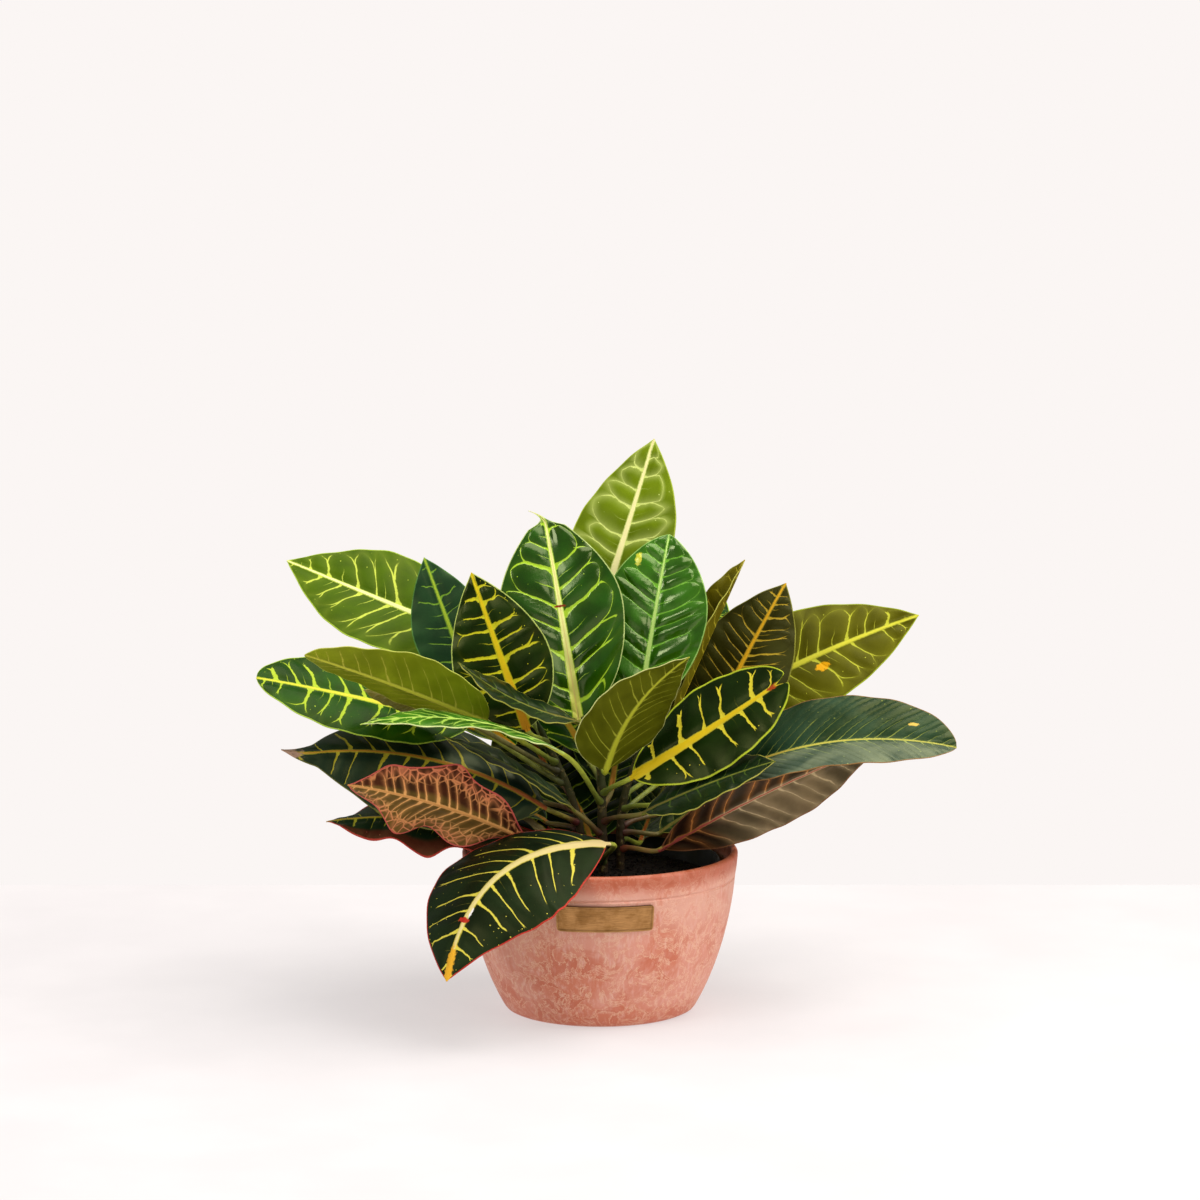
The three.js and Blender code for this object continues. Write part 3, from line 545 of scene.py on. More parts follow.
LOOKS = {
    # The top leaf is soft and olive-yellow, with creamy veins. Its pale tone is
    # partly painted light shining through it.
    "young": look(
        field="#586c00", light="#6c8204", vein="#ccd874", rib="#efe6a2", edge="#a3b23c",
        spacing=17, midrib=6.8, start=0.45, end=0.8, reach=0.85, side=0.2, spots=0.2, glow=0.4,
        lean=0.3, curve=0.003, quilt=1.3, swell=0.6, rough=0.45, sheen=0.2, slot="leaf_young"),
    # Young leaves that are already turning green.
    "young_left": look(
        field="#365000", light="#466200", vein="#c2cf4c", rib="#dfe29a", edge="#9db53a",
        spacing=18, width=2.0, start=0.5, end=0.95, reach=0.86, spots=0.25, glow=0.08, lean=0.55,
        curve=0.003, rough=0.5, sheen=0.12, slot="leaf_young"),
    # A young leaf against the light: olive, with one ripe yellow spot.
    "young_olive": look(
        field="#464400", light="#585602", vein="#b9ba34", rib="#cdc83a", edge="#92a01e",
        spacing=18, midrib=5.4, start=0.6, end=0.92, reach=0.92, spots=0.1, glow=0.12, lean=0.5,
        rough=0.45, sheen=0.15,
        marks=[(10, 88, 3.4, 5.6, "#e8a60c")],
        slot="leaf_young"),
    # Full-grown and glossy: deep green, with a cream midrib that is pink along its core.
    "glossy": look(
        field="#0f3400", light="#1c4e04", vein="#a6cc2c", rib="#eaec90", foot="#d2d45e",
        core="#d2a070", edge="#b6c777", spacing=20, width=2.6, midrib=6.6, start=0.6, end=0.93,
        side=0.5, spots=0.12, glow=0.05, lean=0.5, curve=0.006, quilt=2.2, swell=1.0, rough=0.19,
        sheen=0.65, tint="#f4ffc0",
        marks=[(0, 80, 5.0, 0.9, "#8a2c12")]),
    # Its neighbour has narrow green veins and is swollen like a quilt.
    "quilted": look(
        field="#1a4800", light="#2e6c04", vein="#6cac2c", rib="#badb74", edge="#8fb85c",
        width=1.0, midrib=4.0, start=0.6, end=0.88, glow=0.12, lean=0.45, quilt=2.4, swell=1.1,
        rough=0.19, sheen=0.8, tint="#f4ffc0",
        marks=[(-18, 107, 2.6, 5.0, "#c9c832")]),
    # Nearly black green, with golden veins.
    "gold": look(
        field="#0b1c04", light="#142c07", vein="#c9c322", rib="#dcc01a", foot="#d0901c",
        edge="#b7c565", spacing=14, width=2.3, midrib=6.0, start=0.6, end=0.92, reach=0.9,
        side=0.3, spots=0.3, glow=0.02, lean=0.15, curve=0.003, rough=0.3, sheen=0.2),
    # The same on a broad leaf: few and wide veins, and a scorched tip.
    "gold_wide": look(
        field="#0a1904", light="#122706", vein="#cfc032", rib="#d2b31a", edge="#a9b52c",
        spacing=20, width=3.2, midrib=7.4, start=0.6, end=1.0, reach=0.86, side=0.1, margin=1.2,
        spots=0.08, glow=0.0, lean=0.22, curve=0.002, rough=0.33, sheen=0.15,
        marks=[(0, 125, 2.0, 7.0, "#9a3c16")]),
    # A dull blue-green leaf whose side veins stop halfway.
    "blue_green": look(
        field="#123420", light="#1c4626", vein="#6f9a2c", rib="#a2bb32", edge="#4a7a3a",
        spacing=15, width=1.0, midrib=4.2, start=0.7, end=1.0, reach=0.8, glow=0.0, lean=0.3,
        quilt=0.4, swell=0.2, rough=0.5, sheen=0.25),
    # Green leaves with yellow veins and an orange foot to the midrib.
    "green": look(
        field="#0f3402", light="#1b4a04", vein="#a9c02e", rib="#d5cc3c", foot="#e09a28",
        edge="#9db83e", stalk="#56632a", stalk_foot="#40441f", spacing=17, width=2.6, midrib=5.8,
        start=0.62, end=0.94, reach=0.86, spots=0.4, glow=0.04, lean=0.3, rough=0.36, sheen=0.1),
    # Bronze leaves with fine orange veins.
    "bronze": look(
        field="#232103", light="#302f07", vein="#b8992a", rib="#dca41c", edge="#7c7a2a",
        under_field="#59560a", under_light="#6a6914", spacing=10, width=1.0, midrib=4.6,
        start=0.6, end=0.9, reach=0.9, glow=0.0, quilt=0.7, rough=0.42, sheen=0.2,
        slot="leaf_bronze"),
    # Plain olive, with fine slanting veins and a pale edge.
    "olive": look(
        field="#444806", light="#5a5c10", vein="#a8a634", rib="#c4c03c", edge="#c3c67c",
        under_field="#484c05", under_light="#5c610c", under_vein="#9fa232", under_rib="#b9bd34",
        spacing=10.5, width=0.9, midrib=4.6, start=0.8, end=1.1, reach=0.9, side=0.0, margin=0.4,
        glow=0.05, lean=0.8, quilt=0.7, rough=0.45, sheen=0.2, slot="leaf_bronze"),
    # The same olive, painted lighter to stand for the extra light that falls on it.
    "olive_left": look(
        field="#5a6808", light="#748214", vein="#b4b43a", rib="#c8c640", edge="#b4b850",
        under_field="#6c760e", under_light="#818c18", under_vein="#a9a63a", under_rib="#bcbd3c",
        spacing=11, width=0.9, midrib=4.2, start=0.8, end=1.1, reach=0.9, side=0.0, margin=0.4,
        glow=0.05, lean=0.8, quilt=0.7, rough=0.45, sheen=0.2, slot="leaf_bronze"),
    # A pale leaf whose net of veins hardly shows.
    "beige": look(
        field="#7a742c", light="#8e8742", vein="#99935a", rib="#a39a50", edge="#8f8a44",
        under_field="#7a742c", under_light="#8e8742", under_vein="#99935a", under_rib="#a39a50",
        stalk="#56562a", stalk_foot="#3c3a1e", spacing=9, width=0.8, midrib=3.0, start=0.6,
        end=0.9, side=0.0, glow=0.3, net=0.5, quilt=0.8, rough=0.55, sheen=0.1,
        slot="leaf_bronze"),
    # A slim leaf, folded along its midrib.
    "slender": look(
        field="#5c5406", light="#70680c", vein="#b0a42c", rib="#c8a41e", edge="#aaa84a",
        under_field="#5c5406", under_light="#6e660c", under_vein="#b0a42c", under_rib="#c8a41e",
        spacing=12, width=1.2, midrib=3.2, start=0.6, end=0.95, reach=0.9, side=0.0, margin=0.4,
        glow=0.08, lean=0.6, rough=0.45, sheen=0.2, slot="leaf_bronze"),
    # Old leaves of slate green, streaked by fine veins. One half is paler and greyer,
    # partly its own colour and partly a painted sheen.
    "slate": look(
        field="#142f1a", light="#264430", vein="#8a9440", rib="#bdb048", foot="#dc7034",
        edge="#8a6238", spacing=9, width=0.5, midrib=2.6, start=0.9, end=1.2, reach=0.62,
        side=0.0, margin=0.5, spots=0.3, glow=0.02, lean=1.1, curve=0.002, quilt=1.4, rough=0.36,
        # patch: the paler, greyer half, partly a painted sheen
        patch=dict(face="top", side=1, start=0.0, foot=-1.0, field="#38493a", light="#687258",
                   vein="#94a060"),
        marks=[(-13, 170, 1.5, 3.8, "#d9b450"), (18, 60, 1.6, 4.0, "#e28a2c")],
        slot="leaf_dark"),
    # An old leaf that droops: wide-set yellow veins and a dry brown tip.
    "slate_left": look(
        field="#12261c", light="#1c3426", vein="#b5a82c", rib="#c4882e", foot="#c06a3a",
        edge="#6a6a34", stalk="#6c4630", stalk_foot="#551f20", spacing=17, width=1.6, midrib=3.6,
        start=0.95, end=1.3, reach=1.05, side=0.0, spots=0.08, glow=0.0, lean=0.3, curve=0.008,
        quilt=1.3, swell=1.1, rough=0.42,
        marks=[(-20, 78, 2.2, 2.6, "#cfc028"), (0, 182, 8.0, 10, "#a88672")],
        slot="leaf_dark"),
    # A leaf with broad pale green veins all over.
    "variegated": look(
        field="#1a480c", light="#357012", vein="#9dc24c", rib="#b4ca60", edge="#ccd890",
        spacing=14, width=3.0, start=0.5, end=0.9, margin=0.9, spots=0.6, glow=0.2, lean=1.1,
        quilt=0.8, rough=0.36, sheen=0.2, slot="leaf_young"),
    # Dark leaves low in the plant.
    "dark": look(
        field="#0c1f0a", light="#152d10", vein="#8a9c28", rib="#bfae34", foot="#c08034",
        edge="#74903a", under_field="#3c3a1c", under_light="#4a4826", under_vein="#8a7844",
        under_rib="#a07c44", stalk="#667030", stalk_foot="#4a2418", spacing=14, width=1.1,
        midrib=3.8, start=0.6, end=0.88, reach=0.9, spots=0.15, glow=0.0, quilt=0.8, rough=0.38,
        sheen=0.25, slot="leaf_dark"),
    # Leaves deep in the shade, with a thin pale edge.
    "shade": look(
        field="#0b1d0b", light="#12290f", vein="#3c5218", rib="#75762c", foot="#6a5e28",
        edge="#a09c44", under_field="#34331a", under_light="#403f22", under_vein="#75683a",
        under_rib="#8a6a3a", stalk="#667030", stalk_foot="#4a2418", width=0.9, midrib=2.8,
        start=0.6, end=0.9, reach=0.75, side=0.0, margin=0.6, spots=0.05, glow=0.0, quilt=0.8,
        rough=0.38, sheen=0.25, slot="leaf_dark"),
    # An old leaf flecked with yellow, red at its margin.
    "flecked": look(
        field="#0c1e12", light="#142a18", vein="#a5a02c", rib="#b9922c", foot="#c0603a",
        edge="#b83c34", under_field="#4a2018", under_light="#5a3020", under_vein="#9a5440",
        under_rib="#a84c40", spacing=12, width=0.9, midrib=3.0, start=0.9, end=1.2, reach=0.6,
        side=0.2, margin=1.1, spots=0.5, glow=0.0, quilt=0.6, rough=0.4, sheen=0.25,
        patch=dict(face="top", side=-1, start=0.55, foot=-1.0, field="#42180f", light="#5c3020",
                   vein="#9a5440"),
        slot="leaf_dark"),
    # The great front leaf: black-green, golden veins, a red edge and a torn scar.
    "black_gold": look(
        field="#0e190b", light="#162612", vein="#d6c84a", rib="#dccb84", foot="#d8c286",
        edge="#b8322c", stalk="#46561e", stalk_foot="#33401a", spacing=17, width=1.9, midrib=8.4,
        start=0.82, end=1.15, reach=0.93, side=0.15, margin=0.9, spots=0.6, glow=0.0,
        curve=0.003, swell=0.7, rough=0.45, sheen=0.12,
        marks=[(0, 148, 3.0, 14, "#e0a62c"), (1, 118, 4.0, 2.2, "#b42c20"),
               (-2, 112, 0.7, 4.5, "#e6e2dc")],
        slot="leaf_dark"),
    # An old leaf that has turned red, covered by an orange net. One half of its under
    # face is darker, partly its own colour and partly painted shade.
    "red": look(
        field="#5c3212", light="#7c4c1c", vein="#e0944c", rib="#d98c4c", foot="#c86a44",
        edge="#c4564e", under_field="#55401a", under_light="#705426", under_vein="#e6a862",
        under_rib="#d29454", stalk_foot="#6a2c1c", spacing=8.5, width=1.3, midrib=2.6, start=0.5,
        end=0.8, side=0.0, margin=0.9, glow=0.4, net=0.9, lean=0.5, rough=0.45,
        # patch: the darker half, partly painted shade
        patch=dict(face="under", side=-1, start=0.1, foot=-1.0, field="#30100a", light="#4a1a10",
                   vein="#e0985c"),
        blush=0.55, slot="leaf_red"),
    # An old leaf whose mauve-brown under face shows. Its foot is dark with painted shade,
    # and its near half is darker, partly its own colour and partly painted shade.
    "mauve": look(
        field="#141f12", light="#20301a", vein="#a89a3c", rib="#c8604c", foot="#c85a50",
        edge="#8a5a3c", under_field="#4c3e2e", under_light="#7d6a4e", under_vein="#c0aa82",
        under_rib="#a84c44", stalk_foot="#6a2c1c", spacing=15, width=1.1, midrib=3.0, start=0.85,
        end=1.2, reach=0.95, side=0.0, margin=0.6, spots=0.12, glow=0.34, lean=0.7, quilt=2.2,
        swell=1.8, rough=0.42,
        # patch: painted shade at the foot, and partly on the near half
        patch=dict(face="under", side=1, start=0.0, foot=0.26, field="#22100c", light="#341c15",
                   vein="#b8763c"),
        slot="leaf_dark"),
}
print(len(LOOKS), "leaf looks")

# %% [markdown]
# ## Leaf materials
#
# Each look becomes three materials: one for the upper face, one for the under face and
# one for the stalk. A real leaf is duller underneath, and its veins are paler and thinner
# there. Patches and marks are laid over what the groups paint, because only a few leaves
# have them.

# %% Patches and marks
PATCH_EDGE, FOOT_EDGE = 0.15, 0.12
RAGGED_MARK = 1.2


def patch_share(wires, patch, along, veins_map, span_map):
    """How far a patch covers a point of the blade, from 0 to 1."""
    side = wires.times(wires.split(span_map)[0], float(patch["side"]))
    outer = wires.ramp(wires.split(veins_map)[1], patch["start"], patch["start"] + PATCH_EDGE)
    half = wires.times(wires.ramp(side, 0.0, 1.5), outer)
    near_foot = wires.fall(along, patch["foot"] - FOOT_EDGE, patch["foot"] + FOOT_EDGE)
    return wires.most(half, near_foot)


def mark_share(wires, mark, span_map, ragged):
    """How far a mark covers a point, from 0 to 1: an ellipse with a ragged border."""
    x, s, half_wide, half_long, _ = mark
    across, down = wires.split(span_map)[:2]
    dx = wires.over(wires.minus(across, float(x)), half_wide)
    ds = wires.over(wires.minus(down, float(s)), half_long)
    reach = wires.math("SQRT", wires.plus(wires.times(dx, dx), wires.times(ds, ds)))
    return wires.fall(wires.plus(reach, wires.times(ragged, RAGGED_MARK)), 0.75, 1.1)


# %% Leaf faces
UNDER_DULLER = 0.12
UNDER_SHEEN, UNDER_WIDTH, UNDER_SPOTS = 0.6, 0.85, 0.3
CORE_AMOUNT = 0.4


def vein_masks(wires, style, under, along, veins_map, span_map):
    """The vein pattern of one face of a look."""
    return wires.group(
        vein_group, Veins_map=veins_map, Span_map=span_map, Along=along,
        Spacing=style["spacing"], Vein_width=style["width"] * (UNDER_WIDTH if under else 1.0),
        Midrib_width=style["midrib"], Loop_start=style["start"], Loop_end=style["end"],
        Reach=style["reach"], Side_veins=style["side"], Margin_width=style["margin"],
        Spots=style["spots"] * (UNDER_SPOTS if under else 1.0))


def leaf_face(name, style, under):
    """The painted upper or under face of a leaf."""
    which = "under_" if under else ""
    rough = style["rough"] + (UNDER_DULLER if under else 0.0)
    material, wires, inputs = new_material(name, rough)
    inputs["Specular IOR Level"].default_value = style["sheen"] * (UNDER_SHEEN if under else 1.0)
    inputs["Specular Tint"].default_value = paint(style["tint"])
    along = wires.split(wires.map("blade"))[1]
    veins_map, span_map = wires.map("veins"), wires.map("span")
    masks = vein_masks(wires, style, under, along, veins_map, span_map)
    tone = wires.ramp(wires.noise(wires.place(), 38.0, detail=3.0, bend=0.4), 0.32, 0.7)
    field, light, vein = (paint(style[which + part]) for part in ("field", "light", "vein"))
    patch = style["patch"]
    if patch and (patch["face"] == "under") == under:
        share = patch_share(wires, patch, along, veins_map, span_map)
        field = wires.mix(share, field, paint(patch["field"]))
        light = wires.mix(share, light, paint(patch["light"]))
        vein = wires.mix(share, vein, paint(patch["vein"]))
    rib = style[which + "rib"]
    foot = rib if under else style["foot"] or rib
    painted = wires.group(
        paint_group, Along=along, Tone=tone, Field=field, Field_light=light, Vein=vein,
        Rib=paint(rib), Rib_foot=paint(foot), Rib_core=paint(style["core"] or rib),
        Edge=paint(style["edge"]), Glow=style["glow"], Net_amount=style["net"],
        Quilt=style["quilt"], Away=wires.split(veins_map)[1], Blush=style["blush"],
        Core_amount=0.0 if under or not style["core"] else CORE_AMOUNT,
        **{mask: masks[mask] for mask in MASKS})
    colour = painted["Colour"]
    for mark in () if under else style["marks"]:
        share = mark_share(wires, mark, span_map, masks["Ragged"])
        colour = wires.mix(share, colour, paint(mark[-1]))
    wires.put(colour, inputs["Base Color"])
    dull = wires.plus(rough, wires.either_way(tone, 0.12))
    wires.put(wires.plus(dull, wires.times(masks["Midrib"], 0.1)), inputs["Roughness"])
    grain = wires.noise(wires.place(), 900.0, detail=2.0)
    add_bump(wires, inputs, wires.plus(painted["Height"], wires.times(grain, 0.12)), 0.6, 0.6)
    return material


# %% Stalk finish


def stalk_finish(name, style):
    """A leaf stalk: green beside the blade, warmer towards its foot, with faint streaks."""
    material, wires, inputs = new_material(name, 0.42)
    inputs["Specular IOR Level"].default_value = 0.3
    along = wires.split(wires.map("blade"))[1]
    streaks = wires.noise(wires.place(), 160.0, detail=3.0)
    green = wires.mix(streaks, paint(style["stalk"]), paint(style["under_rib"]))
    warm = wires.fall(wires.plus(along, wires.times(streaks, 0.3)), -0.85, -0.1)
    wires.put(wires.mix(warm, green, paint(style["stalk_foot"])), inputs["Base Color"])
    add_bump(wires, inputs, streaks, 0.3, 0.3)
    return material


for look_name, style in LOOKS.items():
    style["materials"] = [
        leaf_face(f"leaf_{look_name}_top", style, False),
        leaf_face(f"leaf_{look_name}_under", style, True),
        stalk_finish(f"stalk_{look_name}", style),
    ]
print(sum(len(style["materials"]) for style in LOOKS.values()), "leaf materials")

# %% [markdown]
# ## A rolled sheet
#
# A leaf with its stalk, or a stem, is one long closed skin. By hand it would start as a
# grid that is rolled into a tube, stretched along a line, and flattened where the blade
# is. We do the same: a grid primitive, each point put in its place by a formula, the
# seam welded and the two ends filled. The grid's own rows and columns carry the maps.

# %% Rolled sheet
SEAM_GAP = 1e-7


def rolled_sheet(name, points, maps=None, face_slots=None, crease=60):
    """A closed skin from rows of rings of points, in millimetres. The last point of each
    ring repeats the first. maps gives a value pair for each face corner by map name."""
    rows, ring = points.shape[:2]
    bpy.ops.object.select_all(action="DESELECT")
    bpy.ops.mesh.primitive_grid_add(x_subdivisions=ring - 1, y_subdivisions=rows - 1, size=2)
    obj = call_it(name)
    mesh = obj.data
    flat = np.empty(len(mesh.vertices) * 3)
    mesh.vertices.foreach_get("co", flat)
    place = flat.reshape(-1, 3)
    column = np.rint((place[:, 0] + 1) / 2 * (ring - 1)).astype(int)
    row = np.rint((place[:, 1] + 1) / 2 * (rows - 1)).astype(int)
    mesh.vertices.foreach_set("co", (points[row, column] * MM).ravel())
    corner = np.empty(len(mesh.loops), dtype=int)
    mesh.loops.foreach_get("vertex_index", corner)
    columns = column[corner].reshape(-1, 4)
    corner_rows = row[corner].reshape(-1, 4)
    while mesh.uv_layers:
        mesh.uv_layers.remove(mesh.uv_layers[0])
    for map_name, value in (maps or {}).items():
        layer = mesh.uv_layers.new(name=map_name)
        layer.uv.foreach_set("vector", value(corner_rows, columns).ravel())
    if face_slots:
        slots = face_slots(corner_rows.min(axis=1), columns.min(axis=1))
        mesh.polygons.foreach_set("material_index", slots)
    only(obj)
    bpy.ops.object.mode_set(mode="EDIT")
    bpy.ops.mesh.select_all(action="SELECT")
    bpy.ops.mesh.remove_doubles(threshold=SEAM_GAP)
    bpy.ops.mesh.fill_holes(sides=0)
    bpy.ops.mesh.select_all(action="SELECT")
    bpy.ops.mesh.normals_make_consistent(inside=False)
    bpy.ops.object.mode_set(mode="OBJECT")
    bpy.ops.object.shade_smooth_by_angle(angle=math.radians(crease))
    return obj


# %% [markdown]
# ## The stems' lines
#
# The three cuttings rise from the soil and lean apart. Each leaf needs to know where its
# stem is, so the stems' lines come first and their bark later. A stem's line is a smooth
# curve through a few places, and it gets slimmer towards the top.

# %% Stem lines
STEM_FOOT = 66
STEM_TAPER = 0.3
GAP = 0.3
STRETCH_POINTS = 133
STEMS = {
    "centre": dict(path=[(2, 0), (2, 0), (1, 2), (0, 4)], heights=(66, 97, 150, 206), radius=3.5),
    "left": dict(path=[(-11, 11), (-11, 11), (-18, 10), (-40, 12)], heights=(66, 97, 140, 190),
                 radius=3.1),
    "right": dict(path=[(14, 13), (14, 13), (16, 16), (32, 26)], heights=(66, 97, 140, 186),
                  radius=3.1),
}


def smooth_line(points):
    """A centripetal curve through the points, as many close points on it."""
    points = [np.array(p, float) for p in points]
    first = 2 * points[0] - points[1]
    last = 2 * points[-1] - points[-2]
    chain = [first, *points, last]
    line = []
    for i in range(1, len(chain) - 2):
        p0, p1, p2, p3 = chain[i - 1:i + 3]
        d0, d1, d2 = (max(np.linalg.norm(b - a) ** 0.5, 1e-4)
                      for a, b in ((p0, p1), (p1, p2), (p2, p3)))
        m1 = ((p1 - p0) / d0 - (p2 - p0) / (d0 + d1) + (p2 - p1) / d1) * d1
        m2 = ((p2 - p1) / d1 - (p3 - p1) / (d1 + d2) + (p3 - p2) / d2) * d1
        for t in np.linspace(0, 1, STRETCH_POINTS, endpoint=i == len(chain) - 3):
            line.append((2 * t ** 3 - 3 * t ** 2 + 1) * p1 + (t ** 3 - 2 * t ** 2 + t) * m1
                        + (3 * t ** 2 - 2 * t ** 3) * p2 + (t ** 3 - t ** 2) * m2)
    return np.array(line)


for stem in STEMS.values():
    stem["line"] = smooth_line([(*xy, z) for xy, z in zip(stem["path"], stem["heights"])])
    stem["scars"] = []
print("stem lines:", ", ".join(STEMS))


def unit(vector):
    return vector / np.linalg.norm(vector)


def stem_at(stem, height):
    """Centre, direction and radius of a stem at a height."""
    line = stem["line"]
    centre = np.array([np.interp(height, line[:, 2], line[:, axis]) for axis in range(3)])
    ahead = np.array([np.interp(height + 1, line[:, 2], line[:, axis]) for axis in range(3)])
    behind = np.array([np.interp(height - 1, line[:, 2], line[:, axis]) for axis in range(3)])
    along = unit(ahead - behind)
    top = stem["heights"][-1]
    radius = stem["radius"] * (1 - STEM_TAPER * (height - STEM_FOOT) / (top - STEM_FOOT))
    return centre, along, radius


# %% [markdown]
# ## How a leaf is shaped
#
# A leaf's form is a few numbers: where the blade starts and ends, which way it heads, how
# far the midrib arches or sweeps, how wide the blade is and where, how its halves fold up
# and its margins curl and wave. The formulas are the CAD model's, so each fine leaf lies
# in the place of its solid. New here are the raised midrib with a groove on either side,
# the swelling between side veins, the thin edge and the small ripples.
#
# A tip may have a hook: how far it bends sideways and runs on, in millimetres, and how
# much slimmer it gets. A notch draws the tip back along the midrib, in millimetres.

# %% Leaf measures
THICKNESS = 0.9
EDGE_THINNER = 0.35
RIB_DEPTH, RIB_DEPTH_REACH = 1.6, 2.2
RIB_HEIGHT, RIB_REACH = 0.55, 1.5
GROOVE, GROOVE_AT, GROOVE_REACH = 0.5, 3.4, 1.6
RIPPLE, RIPPLES = 0.5, 7
SLIM_FROM, SLIM_RUN = 0.92, 0.04
HOOK_FROM = 0.94
NOTCH_FROM, NOTCH_REACH = 0.84, 2.6
BLADE_LONGER = 1.03
STALK_RADIUS = 1.9
PETIOLE_RADIUS = 1.7
CUSHION, CUSHION_REACH = 1.1, 3.5
STALK_SUNK = 0.8
HALF_COLUMNS = 14
BLADE_ROWS = 80
STALK_ROWS = 14
TYPICAL = dict(arch=0, sweep=0, width=72, roll=0, twist=0, fold=10, curl=0.1, wave=1.2, waves=2,
               phase=0, widest=0.5, base=0.7, tip=1.0, lobes=0, lobe_depth=0, hook=(0, 0, 0),
               notch=0)

# %% Leaf formulas


def turned_about(vector, axis, degrees):
    quaternion = Quaternion(Vector(axis), math.radians(degrees))
    return np.array(quaternion @ Vector(vector))


def across_columns():
    """Places across the blade from -1 to 1, closest together beside the midrib."""
    even = np.linspace(-1, 1, 2 * HALF_COLUMNS + 1)
    return np.sign(even) * np.abs(even) ** 1.35


def blade_rows():
    """Places along the blade from 0 to 1, closest together at both ends."""
    even = np.linspace(0, 1, BLADE_ROWS + 1)
    return even - 0.085 * np.sin(2 * np.pi * even)


def half_width(leaf, t, v):
    """The blade's half width at t, as a share of its greatest half width."""
    bays = leaf["lobe_depth"] * (0.5 - 0.5 * np.cos(2 * np.pi * leaf["lobes"] * t
                                                    + np.where(v > 0, 0.0, 2.0)))
    widest = leaf["widest"]
    below = np.clip((widest - t) / widest, 0, 1)
    above = np.clip((t - widest) / (1 - widest), 0, 1)
    share = np.where(t < widest, (1 - below ** 2) ** leaf["base"],
                     (1 - above ** 1.8) ** leaf["tip"])
    tail = np.clip((t - SLIM_FROM) / SLIM_RUN, 0, 1) * leaf["hook"][2]
    return share * (1 - bays) * (1 - tail)


def vein_count(leaf, t, x, side):
    """How many side veins lie below a point. Left and right veins leave the rib in turn."""
    style = LOOKS[leaf["look"]]
    s = t * leaf["length"]
    run = s - x * style["lean"] - x * x * style["curve"]
    count = run / style["spacing"] + np.where(side > 0, 40.0, 0.45) + leaf["seed"] * 97.0
    return count + 0.16 * np.sin(2.3 * count + leaf["seed"])


def blade_section(leaf, t, v):
    """The blade's line across at t: x and height of the upper face, and its half width."""
    least = STALK_RADIUS * (1 - t) + 0.4 * t
    half = np.maximum(leaf["width"] / 2 * half_width(leaf, t, v), least)
    ripple = leaf["wave"] * np.sin(np.pi * np.clip(t, 0, 1)) ** 0.6 * v * v
    phase = leaf["phase"] + np.where(v > 0, 0.0, 1.9)
    fold = math.radians(leaf["fold"])
    x = half * v * math.cos(fold)
    z = half * (np.abs(v) * math.sin(fold) - leaf["curl"] * v * v)
    z = z + ripple * np.sin(2 * np.pi * leaf["waves"] * t + phase)
    return x, z, half


def blade_relief(leaf, t, v, half):
    """The fine form on top: swollen between veins, a raised rib and a rippled edge."""
    style = LOOKS[leaf["look"]]
    x = np.abs(v) * half
    beside = np.mod(vein_count(leaf, t, x, v), 1) - 0.5
    swell = np.sin(np.pi * beside) ** 2 * np.clip(np.abs(v) * 4, 0, 1) * (1 - v ** 4)
    ends = np.clip(t / 0.08, 0, 1) * np.clip((1 - t) / 0.06, 0, 1)
    rib = RIB_HEIGHT * (1 - 0.6 * t) * np.exp(-(x / RIB_REACH) ** 2)
    groove = GROOVE * np.exp(-((x - GROOVE_AT) / GROOVE_REACH) ** 2)
    ripple = np.sin(2 * np.pi * RIPPLES * t + 3 * leaf["seed"] + np.sign(v))
    edge = RIPPLE * np.abs(v) ** 3 * ripple
    return ends * (style["swell"] * swell + rib - groove + edge)


def bezier(points, t):
    """Place and direction on a curve through its first and last control point."""
    points = [np.asarray(p, float) for p in points]
    t = np.asarray(t, float)[..., None]
    if len(points) == 3:
        a, b, c = points
        place = (1 - t) ** 2 * a + 2 * t * (1 - t) * b + t * t * c
        return place, 2 * (1 - t) * (b - a) + 2 * t * (c - b)
    a, b, c, d = points
    place = (1 - t) ** 3 * a + 3 * t * (1 - t) ** 2 * b + 3 * t * t * (1 - t) * c + t ** 3 * d
    run = 3 * (1 - t) ** 2 * (b - a) + 6 * t * (1 - t) * (c - b) + 3 * t * t * (d - c)
    return place, run


def leaf_frame(leaf):
    """The midrib's curve, its straight line and the upper face's direction."""
    foot, point = (np.array(leaf[key], float) for key in ("foot", "point"))
    chord = point - foot
    line = unit(chord)
    heading = math.radians(leaf["heading"])
    away = np.array([math.cos(heading), math.sin(heading), 0])
    up = np.array([0, 0, 1.0])
    normal = up * away.dot(line) - away * up.dot(line)
    normal = unit(normal - line * normal.dot(line))
    side = np.cross(line, normal)
    bend = foot + chord * 0.5 + normal * 2 * leaf["arch"] + side * 2 * leaf["sweep"]
    return [foot, bend, point], line, normal


# %% [markdown]
# ## The skin of a leaf
#
# The blade's rings run from foot to tip: across the upper face from left to right, and
# back across the under face. The under face lies straight below the upper one by the
# blade's thickness, which is least at the margin and greatest under the midrib. The stalk
# is a bowed tube that starts in a small cushion on the stem, and over its last stretch
# its round section turns smoothly into the blade's first ring.

# %% Blade rings


